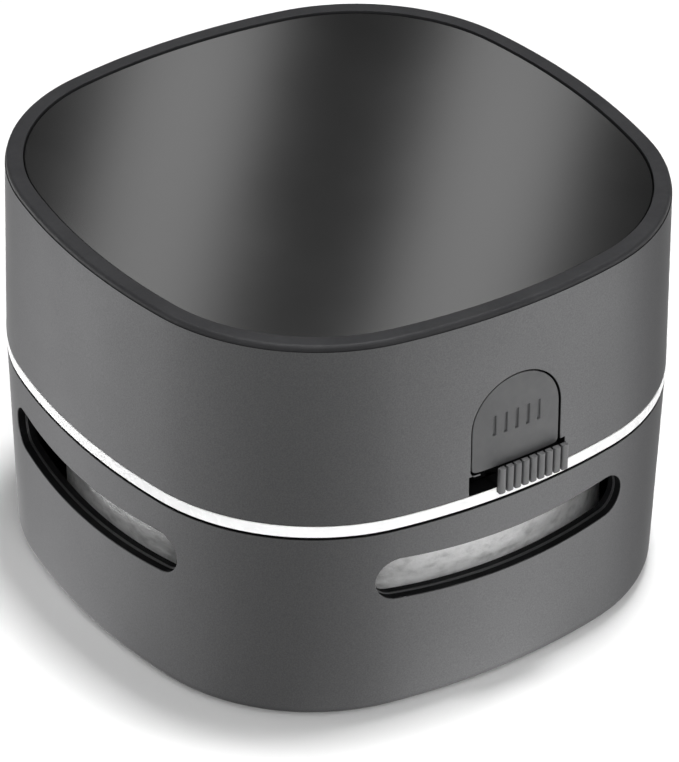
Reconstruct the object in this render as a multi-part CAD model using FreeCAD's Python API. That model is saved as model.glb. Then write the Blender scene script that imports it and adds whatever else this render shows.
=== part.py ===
import FreeCAD, Part
import math
import os

# Desktop mini vacuum cleaner that runs on two AA cells. Millimetres, +Z up.
# The origin is the centre of the base, on the desk. The release tab and the switch face -Y.
# An inset is measured inwards from the nominal outline, so a negative one stands proud of it.

# Outline from above: four wide side arcs joined by four corner arcs
half_width = 42.0
side_radius = 95.0
corner_radius = 28.4

# Heights, and the lean of the walls: widest at the seam, narrower at the top and at the base
body_height = 61.2
seam_height = 33.1
base_lift = 0.6
seam_flare = 0.45
base_taper = 0.55
base_rounding = 2.0

# Clearances
seam_gap = 0.1
fit_gap = 0.1
slip_gap = 0.3
shaft_gap = 0.06

# Lower shell, its vent slots and the bright trim ring on its top edge
lower_wall = 1.8
flange_thickness = 1.7
floor_rim_width = 4.5
shadow_gap = 0.4
lip_setback = 0.9
slot_length = 41.0
slot_height = 6.6
slot_drop = 11.2
slot_lift = 0.8
collar_wall = 1.2
collar_depth = 2.4
trim_height = 1.8
trim_inset = 2.4
trim_leg_length = 3.1
trim_leg_wall = 0.8

# Base plate, suction mouth, brush ring, feet and base screws
plate_thickness = 1.9
plate_inset = 4.4
inlet_radius = 10.0
inlet_flare = 1.2
brush_radius = 16.2
brush_width = 1.8
brush_groove_depth = 1.3
brush_carrier_height = 0.6
bristle_radius = 0.45
bristle_count = 28
bristle_lift = 0.1
foot_radius = 4.0
foot_inset = 11.0
foot_recess = 0.8
base_screw_inset = 11.5

# Dust cup with its chimney
cup_inset = 2.65
cup_wall = 1.1
cup_floor = 1.4
cup_rim_drop = 1.6
chimney_wall = 1.5
chimney_gap = 1.3
cup_boss_radius = 2.8
cup_boss_height = 3.8

# Filter cage, felt and rim seal
cage_wall = 1.6
felt_thickness = 1.7
felt_gap = 0.25
cage_ring_height = 1.6
cage_flange_height = 1.4
cage_drop = 1.9
cage_post_width = 5.0
cage_post_count = 8
seal_height = 1.0
seal_width = 2.0

# Screws
screw_radius = 1.1
screw_head_radius = 2.1
screw_head_height = 1.0
screw_slot_width = 0.6
base_screw_length = 6.4
deck_screw_length = 9.0
small_screw_radius = 0.9
small_head_radius = 1.7
small_head_height = 0.8
cover_screw_length = 5.0
clamp_screw_length = 7.0

# Upper shell, bezel and top plate
upper_wall = 2.0
roof_thickness = 1.5
bezel_seat = 0.8
bezel_cap = 0.9
seat_inset = 1.9
rim_width = 2.5
bezel_step = 0.12
bezel_rounding = 0.5
tape_thickness = 0.3
tape_inset = 6.0
plate_drop = 0.3
plate_gap = 0.15
post_radius = 2.6
post_setback = 1.1
post_inset = 8.8

# Motor deck
deck_thickness = 1.6
deck_inset = 2.8
deck_boss_radius = 3.0
deck_boss_height = 3.1
counterbore_depth = 1.7

# Motor
can_radius = 10.05
can_flat = 7.55
can_length = 20.0
can_wall = 0.8
end_bell_length = 5.0
motor_room = 4.3
nose_radius = 3.05
nose_length = 1.5
shaft_radius = 1.0
shaft_tip = 0.6
shaft_setback = 0.2
magnet_thickness = 2.4
magnet_half_angle = 50.0
armature_gap = 0.5
armature_length = 14.0
armature_slot_width = 1.6
armature_hub_radius = 2.6
commutator_radius = 2.2
commutator_length = 3.6
terminal_reach = 7.0
terminal_width = 2.4
terminal_height = 2.6
sheet_thickness = 0.4
well_wall = 1.4
well_height = 12.0
well_collar_width = 0.4
well_collar_height = 1.0
clamp_thickness = 1.0
clamp_half_width = 4.0
clamp_end = 2.7

# Fan
impeller_radius = 19.0
impeller_height = 6.4
impeller_disc = 1.2
impeller_hub_radius = 3.2
vane_count = 8
vane_thickness = 1.0
vane_root_radius = 4.6
vane_sweep = 40.0
fan_roof_gap = 0.8

# Battery bays
cell_radius = 7.25
cell_length = 50.5
cell_nub_radius = 2.75
cell_nub_length = 1.0
cell_gap = 0.35
bay_wall = 1.2
bay_clear = 0.75
contact_spring_length = 5.0
contact_spring_radius = 3.2
contact_wire_radius = 0.35
contact_spring_turns = 4
contact_half_width = 6.0
contact_tab_half_width = 1.0
contact_tab_rise = 2.0
cover_gap = 0.15
cover_tab_shift = 4.9
cover_tab_reach = 2.85
cover_tab_radius = 2.5
cover_boss_height = 5.6

# Release tab, its slider and the latch
tab_centre = 0.4
tab_width = 14.3
tab_sill = 0.3
tab_headroom = 8.0
tab_gap = 0.25
tab_recess = 0.15
tab_thickness = 1.2
tab_corner = 0.8
tab_mark_count = 5
tab_mark_pitch = 1.83
tab_mark_width = 0.5
tab_mark_height = 3.1
tab_mark_depth = 0.3
tab_mark_lift = 0.15
tab_travel = 1.5
slider_wall = 1.2
slider_margin = 3.0
slider_lift = 0.85
crossbar_height = 2.6
leg_reach = 11.5
leg_width = 3.0
leg_inset = 5.3
leg_thickness = 1.2
hook_depth = 0.75
hook_height = 1.0
hook_gap = 0.15
hook_lift = 0.5
ledge_height = 1.0
ledge_margin = 0.3
spring_foot_gap = 3.65
spring_radius = 2.2
spring_wire_radius = 0.25
spring_turns = 6
spring_pin_radius = 1.2
spring_pin_length = 3.0
spring_room = 9.3
spring_wall_thickness = 1.2
spring_wall_half_width = 6.5

# Slide switch
window_left = -7.2
window_right = 8.7
window_height = 3.0
window_bridge = 1.8
knob_left = -3.05
knob_width = 11.35
knob_proud = 1.1
knob_face_gap = 0.2
knob_drop = 0.5
knob_rise = 0.5
knob_neck_setback = 0.4
knob_ribs = 9
rib_groove_width = 0.4
rib_groove_depth = 0.7
switch_travel = 4.0
knob_flange_gap = 0.5
knob_flange_thickness = 0.9
knob_flange_margin = 1.5
stem_half_width = 0.9
stem_height = 1.2
stem_lift = 1.5
stem_gap = 0.1
fork_half_width = 2.2
fork_depth = 1.3
fork_margin = 0.8
switch_half_width = 6.0
switch_depth = 5.0
switch_headroom = 0.5
switch_pin_radius = 0.4
switch_pin_pitch = 3.0
switch_pin_length = 1.8
board_half_width = 10.0
board_thickness = 1.2
board_height = 7.1
board_rail_width = 1.5
board_rail_depth = 1.1

# Wires
wire_radius = 0.6
wire_bend = 3.6
wire_run_out = 6.0
wire_climb = 6.0
wire_spacing = 2.4
wire_cross = 9.0

# Heights that follow from the sizes above: the lower unit, up to the filter's seal
trim_top = seam_height - seam_gap
trim_low = trim_top - trim_height
shell_top = trim_low - shadow_gap
plate_top = base_lift + plate_thickness
flange_top = plate_top + flange_thickness
cup_low = flange_top + fit_gap
cup_floor_top = cup_low + cup_floor
slot_centre = seam_height - slot_drop
cup_top = slot_centre - slot_height / 2 - collar_wall - cup_rim_drop
cage_top = trim_low - cage_drop
seal_top = cage_top + seal_height

# The upper shell, with the motor and the fan hung down from its roof
shell_rim_height = body_height - bezel_cap
roof_height = shell_rim_height - bezel_seat
roof_low = roof_height - roof_thickness
motor_top = roof_low - motor_room
can_top = motor_top - end_bell_length
motor_seat_height = can_top - can_length
well_low = motor_seat_height - nose_length
clamp_low = motor_top + fit_gap
clamp_top = clamp_low + clamp_thickness
impeller_top = well_low - fan_roof_gap
impeller_low = impeller_top - impeller_height
chimney_top = impeller_low - chimney_gap
shaft_foot = impeller_low - shaft_tip
shaft_end = motor_top - shaft_setback

# The motor deck and the battery bays, laid on the filter's seal
deck_low = seal_top + slip_gap
deck_top = deck_low + deck_thickness
deck_boss_top = deck_low + deck_boss_height
cell_height = deck_top + cell_gap + cell_radius
bay_roof_low = cell_height + cell_radius + cell_gap
bay_roof_top = bay_roof_low + bay_wall

# The release tab and the switch, one above the other
window_top = seam_height + window_height
tab_base = window_top + tab_sill
tab_height = roof_low - tab_headroom - tab_base
tab_shoulder = tab_base + tab_height - tab_width / 2
slider_foot = tab_base + slider_lift
spring_foot = slider_foot + crossbar_height + spring_foot_gap
spring_height = spring_foot + spring_radius + spring_wire_radius
hook_foot = seal_top + hook_lift
stem_bottom = seam_height + stem_lift
switch_top = slider_foot - switch_headroom
board_top = deck_top + board_height

# Places in plan that follow from the sizes above
well_radius = can_radius + fit_gap + well_wall
well_collar_radius = well_radius + well_collar_width
clamp_reach = well_collar_radius + slip_gap + clamp_end
bay_half_width = cell_radius + cell_gap
cell_x = well_radius + bay_clear + bay_wall + bay_half_width
bay_half_length = (cell_length + contact_spring_length) / 2 + sheet_thickness
cover_tab_x = cell_x + cover_tab_shift
cover_tab_y = bay_half_length + cover_tab_reach
post_x = cell_x - post_setback
post_y = half_width - post_inset
foot_reach = half_width - foot_inset
base_screw_reach = half_width - base_screw_inset
floor_opening_radius = base_screw_reach - floor_rim_width
felt_radius = half_width - cup_inset - cup_wall - felt_gap
cage_radius = felt_radius - felt_thickness
cage_inner_radius = cage_radius - cage_wall
slider_face = half_width - upper_wall - slip_gap
slider_back = slider_face - slider_wall
spring_wall_face = slider_back - spring_room
leg_face = half_width - leg_inset
ledge_face = leg_face + hook_depth + hook_gap
knob_flange_face = half_width - upper_wall - knob_flange_gap
fork_face = knob_flange_face - knob_flange_thickness
switch_face = fork_face - fork_depth - slip_gap
board_face = switch_face - switch_depth
switch_centre = knob_left + knob_width / 2 - switch_travel / 2
stem_centre = knob_left + knob_width / 2

# Centres of the outline's arcs, and the angle that half a side arc covers
side_shift = side_radius - half_width
arc_spread = side_radius - corner_radius
corner_centre = (math.sqrt(2 * arc_spread**2 - side_shift**2) - side_shift) / 2
side_angle = math.atan2(corner_centre, corner_centre + side_shift)

x_axis = FreeCAD.Vector(1, 0, 0)
y_axis = FreeCAD.Vector(0, 1, 0)
z_axis = FreeCAD.Vector(0, 0, 1)
half_turn = 180.0
quarter_turn = 90.0
beyond = 10.0
front_reach = 20.0
bay_turns = (0.0, half_turn)
sides = (-1, 1)


def vector(x, y, z):
    return FreeCAD.Vector(x, y, z)


def turned(shape, angle, axis=z_axis):
    copy = shape.copy()
    copy.rotate(vector(0, 0, 0), axis, angle)
    return copy


def block(x_range, y_range, z_range):
    corner = vector(x_range[0], y_range[0], z_range[0])
    size = [high - low for low, high in (x_range, y_range, z_range)]
    return Part.makeBox(*size, corner)


def around(centre, half):
    return (centre - half, centre + half)


def rod(radius, low, high, x=0.0, y=0.0):
    return Part.makeCylinder(radius, high - low, vector(x, y, low))


def ring(outer, inner, low, high):
    return rod(outer, low, high).cut(rod(inner, low, high))


def joined(shapes):
    first, *others = shapes
    return first.fuse(others).removeSplitter() if others else first


def cut_all(shape, cutters):
    return shape.cut(list(cutters))


def arc_edge(centre, radius, start, end, height):
    angles = (start, (start + end) / 2, end)
    points = [
        vector(centre[0] + radius * math.cos(a), centre[1] + radius * math.sin(a), height) for a in angles
    ]
    return Part.Arc(*points).toShape()


def outline(inset, height):
    """Closed outline of eight tangent arcs at one height."""
    edges = []
    for quarter in range(4):
        turn = quarter * math.pi / 2
        side_middle = (-side_shift * math.cos(turn), -side_shift * math.sin(turn))
        reach = corner_centre * math.sqrt(2)
        diagonal = turn + math.pi / 4
        corner_middle = (reach * math.cos(diagonal), reach * math.sin(diagonal))
        edges.append(
            arc_edge(side_middle, side_radius - inset, turn - side_angle, turn + side_angle, height)
        )
        edges.append(
            arc_edge(
                corner_middle,
                corner_radius - inset,
                turn + side_angle,
                turn + math.pi / 2 - side_angle,
                height,
            )
        )
    return Part.Wire(edges)


def slab(inset, low, high):
    return Part.Face(outline(inset, low)).extrude(z_axis * (high - low))


def wall_inset(height):
    """How far the outer wall lies inside the nominal outline at a height."""
    if height >= seam_height:
        return -seam_flare * (body_height - height) / (body_height - seam_height)
    drop = (seam_height - height) / (seam_height - base_lift)
    return (seam_flare + base_taper) * drop - seam_flare


def leaning_slab(inset, low, high):
    """Solid whose sides follow the leaning outer wall, that much inside it."""
    sections = [outline(wall_inset(h) + inset, h) for h in (low, high)]
    return Part.makeLoft(sections, True, True)


def edges_at(shape, height):
    close = 1e-4
    return [
        e for e in shape.Edges if all(abs(v.Z - height) < close for v in e.Vertexes)
    ]


def front_prism(wire, face_inset, depth):
    """Solid that a wire in the XZ plane sweeps through the front wall."""
    face = Part.Face(wire)
    face.translate(vector(0, -half_width - face_inset, 0))
    return face.extrude(y_axis * depth)


def slot_wire(growth):
    """Vent slot seen from the front, with its ends a little higher than its middle."""
    end_radius = slot_height / 2
    bend_x = slot_length / 2 - end_radius
    radius = end_radius + growth
    end_z = slot_centre + slot_lift
    top = Part.Arc(
        vector(-bend_x, 0, end_z + radius),
        vector(0, 0, slot_centre + radius),
        vector(bend_x, 0, end_z + radius),
    )
    right = Part.Arc(
        vector(bend_x, 0, end_z + radius),
        vector(bend_x + radius, 0, end_z),
        vector(bend_x, 0, end_z - radius),
    )
    bottom = Part.Arc(
        vector(bend_x, 0, end_z - radius),
        vector(0, 0, slot_centre - radius),
        vector(-bend_x, 0, end_z - radius),
    )
    left = Part.Arc(
        vector(-bend_x, 0, end_z - radius),
        vector(-bend_x - radius, 0, end_z),
        vector(-bend_x, 0, end_z + radius),
    )
    return Part.Wire([arc.toShape() for arc in (top, right, bottom, left)])


def four_ways(shape):
    return [turned(shape, quarter_turn * i) for i in range(4)]


def screw(x, y, head_low, radius, head_radius, head_height, length):
    """Screw driven upwards, with its slotted head at the bottom."""
    head = rod(head_radius, head_low, head_low + head_height, x, y)
    half = screw_slot_width / 2
    slot_z = (head_low - beyond, head_low + head_height / 2)
    slots = [
        block(around(x, half), around(y, head_radius - half), slot_z),
        block(around(x, head_radius - half), around(y, half), slot_z),
    ]
    shank = rod(radius, head_low + head_height, head_low + head_height + length, x, y)
    return cut_all(head.fuse(shank).removeSplitter(), slots)


def base_screw_places():
    reach = base_screw_reach / math.sqrt(2)
    return [(sx * reach, sy * reach) for sx in sides for sy in sides]


def post_places():
    return [(sx * post_x, sy * post_y) for sx in sides for sy in sides]


def coil(radius, wire, length, turns):
    """Open coil along +Z from the origin, made of tilted half rings."""
    step = (length - 2 * wire) / (2 * turns)
    arcs = []
    for index in range(2 * turns):
        side = -1 if index % 2 else 1
        start = vector(side * radius, 0, wire + step * index)
        end = vector(-side * radius, 0, wire + step * (index + 1))
        reach = vector(0, side * (end - start).Length / 2, 0)
        arcs.append(Part.Arc(start, (start + end) * 0.5 + reach, end).toShape())
    section = Part.Wire([Part.Circle(vector(radius, 0, wire), y_axis, wire).toShape()])
    return Part.Wire(arcs).makePipeShell([section], True, False)


# Lower unit


def lower_shell():
    outer = leaning_slab(0, base_lift, shell_top)
    outer = outer.makeFillet(base_rounding, edges_at(outer, base_lift))
    lip = slab(wall_inset(shell_top) + lip_setback, shell_top, trim_low)
    hollow = leaning_slab(lower_wall, flange_top, seam_height)
    rebate = slab(plate_inset - fit_gap, base_lift - beyond, plate_top)
    opening = rod(floor_opening_radius, plate_top, flange_top)
    shell = cut_all(outer.fuse(lip).removeSplitter(), [hollow, rebate, opening])
    band = slab(lower_wall / 2, flange_top, shell_top).cut(slab(collar_depth, flange_top, shell_top))
    blank = front_prism(slot_wire(collar_wall), 0, beyond)
    collar = blank.common(band)
    slot = front_prism(slot_wire(0), beyond, front_reach)
    holes = [rod(screw_radius + fit_gap, plate_top, flange_top, x, y) for x, y in base_screw_places()]
    shell = shell.fuse(four_ways(collar)).removeSplitter()
    return cut_all(shell, four_ways(slot) + holes)


def trim_ring():
    band = leaning_slab(0, trim_low, trim_top)
    leg = slab(trim_inset - trim_leg_wall, trim_low - trim_leg_length, trim_low)
    hollow = slab(trim_inset, trim_low - trim_leg_length, trim_top)
    body = cut_all(band.fuse(leg).removeSplitter(), [hollow])
    ledges = []
    for side in sides:
        reach = around(tab_centre + side * leg_reach, leg_width / 2 + ledge_margin)
        ledge = block(reach, (-half_width, -ledge_face), (trim_top - ledge_height, trim_top))
        ledges.append(ledge.common(slab(trim_inset / 2, trim_low, trim_top)))
    return joined([body] + ledges)


def base_plate():
    plate = slab(plate_inset, base_lift, plate_top)
    mouth = rod(inlet_radius, base_lift, plate_top)
    flare = Part.makeCone(inlet_radius + inlet_flare, inlet_radius, inlet_flare, vector(0, 0, base_lift))
    groove = ring(
        brush_radius + brush_width / 2,
        brush_radius - brush_width / 2,
        base_lift,
        base_lift + brush_groove_depth,
    )
    recesses = [rod(foot_radius, base_lift, base_lift + foot_recess, x, y) for x, y in foot_places()]
    holes = []
    for x, y in base_screw_places():
        holes.append(rod(screw_radius + fit_gap, base_lift, plate_top, x, y))
        sink_top = base_lift + screw_head_height + fit_gap
        holes.append(rod(screw_head_radius + fit_gap, base_lift, sink_top, x, y))
    return cut_all(plate, [mouth, flare, groove] + recesses + holes)


def foot_places():
    return [(foot_reach, 0), (0, foot_reach), (-foot_reach, 0), (0, -foot_reach)]


def glide_feet():
    return [rod(foot_radius - fit_gap, 0, base_lift + foot_recess, x, y) for x, y in foot_places()]


def base_screws():
    head_low = base_lift + fit_gap
    return [
        screw(x, y, head_low, screw_radius, screw_head_radius, screw_head_height, base_screw_length)
        for x, y in base_screw_places()
    ]


def brush_ring():
    top = base_lift + brush_groove_depth
    half = brush_width / 2 - fit_gap
    return ring(brush_radius + half, brush_radius - half, top - brush_carrier_height, top)


def bristles():
    top = base_lift + brush_groove_depth - brush_carrier_height
    tufts = []
    for index in range(bristle_count):
        angle = 2 * math.pi * index / bristle_count
        place = (brush_radius * math.cos(angle), brush_radius * math.sin(angle))
        tufts.append(rod(bristle_radius, bristle_lift, top, *place))
    return tufts


def dust_cup():
    outer = slab(cup_inset, cup_low, cup_top)
    hollow = slab(cup_inset + cup_wall, cup_floor_top, cup_top)
    chimney = rod(inlet_radius + chimney_wall, plate_top + fit_gap, chimney_top)
    bore = rod(inlet_radius, plate_top, chimney_top)
    boss_top = cup_floor_top + cup_boss_height
    bosses = [rod(cup_boss_radius, cup_low, boss_top, x, y) for x, y in base_screw_places()]
    screw_top = base_lift + fit_gap + screw_head_height + base_screw_length + fit_gap
    pilots = [rod(screw_radius, cup_low, screw_top, x, y) for x, y in base_screw_places()]
    cup = joined([outer.cut(hollow), chimney] + bosses)
    return cut_all(cup, [bore] + pilots)


def filter_frame():
    ring_top = cup_floor_top + cage_ring_height
    flange_low = cage_top - cage_flange_height
    foot = ring(felt_radius, cage_inner_radius, cup_floor_top, ring_top)
    flange = slab(cup_inset, flange_low, cage_top).cut(rod(cage_inner_radius, flange_low, cage_top))
    post_block = block((0, cage_radius), around(0, cage_post_width / 2), (ring_top, flange_low))
    post = post_block.common(ring(cage_radius, cage_inner_radius, ring_top, flange_low))
    spacing = 2 * half_turn / cage_post_count
    posts = [turned(post, spacing * (i + 0.5)) for i in range(cage_post_count)]
    return joined([foot, flange] + posts)


def filter_felt():
    low = cup_floor_top + cage_ring_height
    return ring(felt_radius, cage_radius, low, cage_top - cage_flange_height)


def rim_seal():
    return slab(cup_inset, cage_top, seal_top).cut(slab(cup_inset + seal_width, cage_top, seal_top))


# Upper unit


def tab_wire(growth):
    """Release tab seen from the front: straight foot and sides, round top."""
    radius = tab_width / 2 + growth
    low = tab_base - growth
    left = tab_centre - radius
    right = tab_centre + radius
    corner = tab_corner
    slant = corner * (1 - math.sqrt(0.5))
    edges = [
        Part.LineSegment(vector(left + corner, 0, low), vector(right - corner, 0, low)),
        Part.Arc(
            vector(right - corner, 0, low),
            vector(right - slant, 0, low + slant),
            vector(right, 0, low + corner),
        ),
        Part.LineSegment(vector(right, 0, low + corner), vector(right, 0, tab_shoulder)),
        Part.Arc(
            vector(right, 0, tab_shoulder),
            vector(tab_centre, 0, tab_shoulder + radius),
            vector(left, 0, tab_shoulder),
        ),
        Part.LineSegment(vector(left, 0, tab_shoulder), vector(left, 0, low + corner)),
        Part.Arc(
            vector(left, 0, low + corner),
            vector(left + slant, 0, low + slant),
            vector(left + corner, 0, low),
        ),
    ]
    return Part.Wire([edge.toShape() for edge in edges])


def upper_shell():
    outer = leaning_slab(0, seam_height, shell_rim_height)
    hollow = leaning_slab(upper_wall, seam_height, roof_low)
    seat = slab(seat_inset, roof_height, shell_rim_height)
    posts = [rod(post_radius, deck_boss_top, roof_height, x, y) for x, y in post_places()]
    pilot_top = deck_low + counterbore_depth + deck_screw_length + fit_gap
    pilots = [rod(screw_radius, deck_boss_top, pilot_top, x, y) for x, y in post_places()]
    front = (-half_width - beyond, -half_width - beyond + front_reach)
    tab_hole = front_prism(tab_wire(tab_gap), beyond, front_reach)
    window = block((window_left, window_right), front, (seam_height, window_top))
    bridge_z = (seam_height, tab_base + tab_corner / 2)
    bridge = block((window_left + window_bridge, window_right), front, bridge_z)
    shell = joined([outer.cut(hollow)] + posts)
    return cut_all(shell, [seat, tab_hole, window, bridge] + pilots)


def top_bezel():
    outer_inset = wall_inset(shell_rim_height) + bezel_step
    cap = slab(outer_inset, shell_rim_height, body_height)
    cap = cap.makeFillet(bezel_rounding, edges_at(cap, body_height))
    leg = slab(seat_inset + fit_gap, roof_height, shell_rim_height)
    return cap.fuse(leg).removeSplitter().cut(slab(rim_width, roof_height, body_height))


def plate_tape():
    return slab(tape_inset, roof_height, roof_height + tape_thickness)


def top_plate():
    return slab(rim_width + plate_gap, roof_height + tape_thickness, body_height - plate_drop)


def flat_sided(radius, flat, low, high):
    """Round bar with two flats that face +Y and -Y."""
    return rod(radius, low, high).common(block(around(0, radius), around(0, flat), (low, high)))


def cover_outline(growth, low, high):
    """Battery cover with its screw tab, or the hole for it, on the +X side."""
    plate = block(
        around(cell_x, bay_half_width - cover_gap + growth),
        around(0, bay_half_length - cover_gap + growth),
        (low, high),
    )
    radius = cover_tab_radius + growth
    tab = rod(radius, low, high, cover_tab_x, cover_tab_y)
    neck = block(around(cover_tab_x, radius), (0, cover_tab_y), (low, high))
    inside = (0, cell_x + bay_half_width - cover_gap + growth)
    neck = neck.common(block(inside, (0, cover_tab_y), (low, high)))
    return joined([plate, tab, neck])


def bay_shell():
    """Walls and roof of the battery bay on the +X side, with the boss for its cover screw."""
    outer = block(
        around(cell_x, bay_half_width + bay_wall),
        around(0, bay_half_length + bay_wall),
        (deck_top, bay_roof_top),
    )
    boss_top = deck_top + cover_boss_height
    boss = rod(cover_tab_radius, deck_top, boss_top, cover_tab_x, cover_tab_y)
    return outer.fuse(boss)


def bay_cutters():
    """Space for the cell, the contact tabs, the cover and its screw on the +X side."""
    hollow = block(
        around(cell_x, bay_half_width), around(0, bay_half_length), (deck_low, bay_roof_low)
    )
    cutters = [hollow, cover_outline(cover_gap, deck_low, deck_top)]
    half = contact_tab_half_width + fit_gap
    for side in sides:
        ends = sorted((side * bay_half_length, side * (bay_half_length - sheet_thickness - fit_gap)))
        cutters.append(block(around(cell_x, half), ends, (bay_roof_low, bay_roof_top)))
    pilot_top = deck_low + fit_gap + small_head_height + cover_screw_length + fit_gap
    cutters.append(rod(small_screw_radius, deck_top, pilot_top, cover_tab_x, cover_tab_y))
    return cutters


def motor_cup():
    """Cup that hangs by its collar in the deck's round hole and takes the motor's front end."""
    cup = rod(well_radius, well_low, deck_top + well_height)
    collar = rod(well_collar_radius, deck_top, deck_top + well_collar_height)
    seat = flat_sided(can_radius + fit_gap, can_flat + fit_gap, motor_seat_height, motor_top)
    nose_hole = rod(nose_radius + fit_gap, impeller_top, motor_seat_height)
    return cut_all(joined([cup, collar]), [seat, nose_hole])


def motor_deck():
    plate = slab(deck_inset, deck_low, deck_top)
    bays = [turned(bay_shell(), turn) for turn in bay_turns]
    bosses = [rod(deck_boss_radius, deck_low, deck_boss_top, x, y) for x, y in post_places()]
    clamp_posts = [rod(clamp_end, deck_top, clamp_low, 0, side * clamp_reach) for side in sides]
    wall = block(
        around(tab_centre, spring_wall_half_width),
        (-spring_wall_face, -spring_wall_face + spring_wall_thickness),
        (deck_top, spring_height + spring_radius + spring_wall_thickness),
    )
    spigot_foot = vector(tab_centre, -spring_wall_face, spring_height)
    spigot = Part.makeCylinder(spring_pin_radius, spring_pin_length / 2, spigot_foot, -y_axis)
    body = joined([plate, wall, spigot] + bays + bosses + clamp_posts + board_rails())
    cutters = [rod(well_radius + fit_gap, deck_low, deck_top)]
    for turn in bay_turns:
        cutters += [turned(cutter, turn) for cutter in bay_cutters()]
    for x, y in post_places():
        cutters.append(rod(screw_radius + fit_gap, deck_low, deck_boss_top, x, y))
        cutters.append(rod(screw_head_radius + fit_gap, deck_low, deck_low + counterbore_depth, x, y))
    pilot_low = clamp_top - clamp_screw_length - fit_gap
    cutters += [rod(small_screw_radius, pilot_low, clamp_low, 0, side * clamp_reach) for side in sides]
    leg_back = leg_face - leg_thickness - tab_travel - slip_gap
    for side in sides:
        reach = around(tab_centre + side * leg_reach, leg_width / 2 + 2 * ledge_margin)
        cutters.append(block(reach, (-half_width, -leg_back), (deck_low, deck_top)))
    return cut_all(body, cutters)


def board_rails():
    """Two channels that the switch board slides into from above."""
    rails = []
    depth = (-board_face - board_rail_depth, -board_face + board_thickness + board_rail_depth)
    slot = (-board_face, -board_face + board_thickness)
    for side in sides:
        outer = switch_centre + side * (board_half_width + board_rail_width / 2)
        rail = block(around(outer, board_rail_width), depth, (deck_top, switch_top))
        gap = block(around(switch_centre, board_half_width), slot, (deck_top, switch_top))
        rails.append(rail.cut(gap))
    return rails


def deck_screws():
    head_low = deck_low + counterbore_depth - screw_head_height
    return [
        screw(x, y, head_low, screw_radius, screw_head_radius, screw_head_height, deck_screw_length)
        for x, y in post_places()
    ]


def battery_covers():
    cover = cover_outline(0, deck_low, deck_top)
    sink_top = deck_low + small_head_height + fit_gap
    sink = rod(small_head_radius + fit_gap, deck_low, sink_top, cover_tab_x, cover_tab_y)
    hole = rod(small_screw_radius + fit_gap, deck_low, deck_top, cover_tab_x, cover_tab_y)
    cover = cut_all(cover, [sink, hole])
    return [turned(cover, turn) for turn in bay_turns]


def cover_screws():
    one = screw(
        cover_tab_x,
        cover_tab_y,
        deck_low + fit_gap,
        small_screw_radius,
        small_head_radius,
        small_head_height,
        cover_screw_length,
    )
    return [turned(one, turn) for turn in bay_turns]


def battery_cells():
    plus_end = bay_half_length - sheet_thickness
    start = vector(cell_x, plus_end - cell_length, cell_height)
    body = Part.makeCylinder(cell_radius, cell_length - cell_nub_length, start, y_axis)
    nub_start = vector(cell_x, plus_end - cell_nub_length, cell_height)
    nub = Part.makeCylinder(cell_nub_radius, cell_nub_length, nub_start, y_axis)
    cell = body.fuse(nub).removeSplitter()
    return [turned(cell, turn) for turn in bay_turns]


def contact_plates():
    plates = []
    for side in sides:
        ends = sorted((side * bay_half_length, side * (bay_half_length - sheet_thickness)))
        pad_z = (cell_height - contact_half_width, cell_height + contact_half_width)
        pad = block(around(cell_x, contact_half_width), ends, pad_z)
        tab_z = (cell_height, bay_roof_top + contact_tab_rise)
        tab = block(around(cell_x, contact_tab_half_width), ends, tab_z)
        plates.append(pad.fuse(tab).removeSplitter())
    return [turned(plate, turn) for turn in bay_turns for plate in plates]


def contact_springs():
    spring = coil(contact_spring_radius, contact_wire_radius, contact_spring_length, contact_spring_turns)
    spring.rotate(vector(0, 0, 0), x_axis, -quarter_turn)
    spring.translate(vector(cell_x, sheet_thickness - bay_half_length, cell_height))
    return [turned(spring, turn) for turn in bay_turns]


def motor_can():
    can = flat_sided(can_radius, can_flat, motor_seat_height, can_top)
    inside = flat_sided(can_radius - can_wall, can_flat - can_wall, motor_seat_height + can_wall, can_top)
    nose = rod(nose_radius, well_low, motor_seat_height)
    bearing = rod(shaft_radius + shaft_gap, well_low, can_top)
    return cut_all(can.fuse(nose).removeSplitter(), [inside, bearing])


def motor_end_bell():
    bell = flat_sided(can_radius, can_flat, can_top, motor_top)
    inside = flat_sided(can_radius - can_wall, can_flat - can_wall, can_top, can_top + end_bell_length / 2)
    bearing = rod(shaft_radius + shaft_gap, can_top, motor_top)
    return cut_all(bell, [inside, bearing])


def motor_magnets():
    """Two curved magnets on the can's round sides."""
    outer = can_radius - can_wall
    low = motor_seat_height + 2 * can_wall
    high = can_top - can_wall
    tube = ring(outer, outer - magnet_thickness, low, high)
    wedge = Part.makeCylinder(outer, high - low, vector(0, 0, low), z_axis, 2 * magnet_half_angle)
    wedge = turned(wedge, -magnet_half_angle)
    flats = block(around(0, outer), around(0, can_flat - can_wall), (low, high))
    magnet = tube.common(wedge).common(flats)
    return [turned(magnet, turn) for turn in bay_turns]


def motor_terminals():
    half = sheet_thickness / 2
    return [
        block(
            around(side * terminal_reach, half),
            around(0, terminal_width / 2),
            (motor_top, motor_top + terminal_height),
        )
        for side in sides
    ]


def motor_clamp():
    strap = block(
        around(0, clamp_half_width), around(0, clamp_reach), (clamp_low, clamp_top)
    )
    ends = [rod(clamp_half_width, clamp_low, clamp_top, 0, side * clamp_reach) for side in sides]
    holes = [rod(small_screw_radius + fit_gap, clamp_low, clamp_top, 0, side * clamp_reach) for side in sides]
    eye = rod(shaft_radius + slip_gap, clamp_low, clamp_top)
    return cut_all(joined([strap] + ends), holes + [eye])


def clamp_screws():
    upright = screw(
        0,
        clamp_reach,
        -clamp_top - small_head_height,
        small_screw_radius,
        small_head_radius,
        small_head_height,
        clamp_screw_length,
    )
    one = turned(upright, half_turn, x_axis)
    return [one, turned(one, half_turn)]


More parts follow.
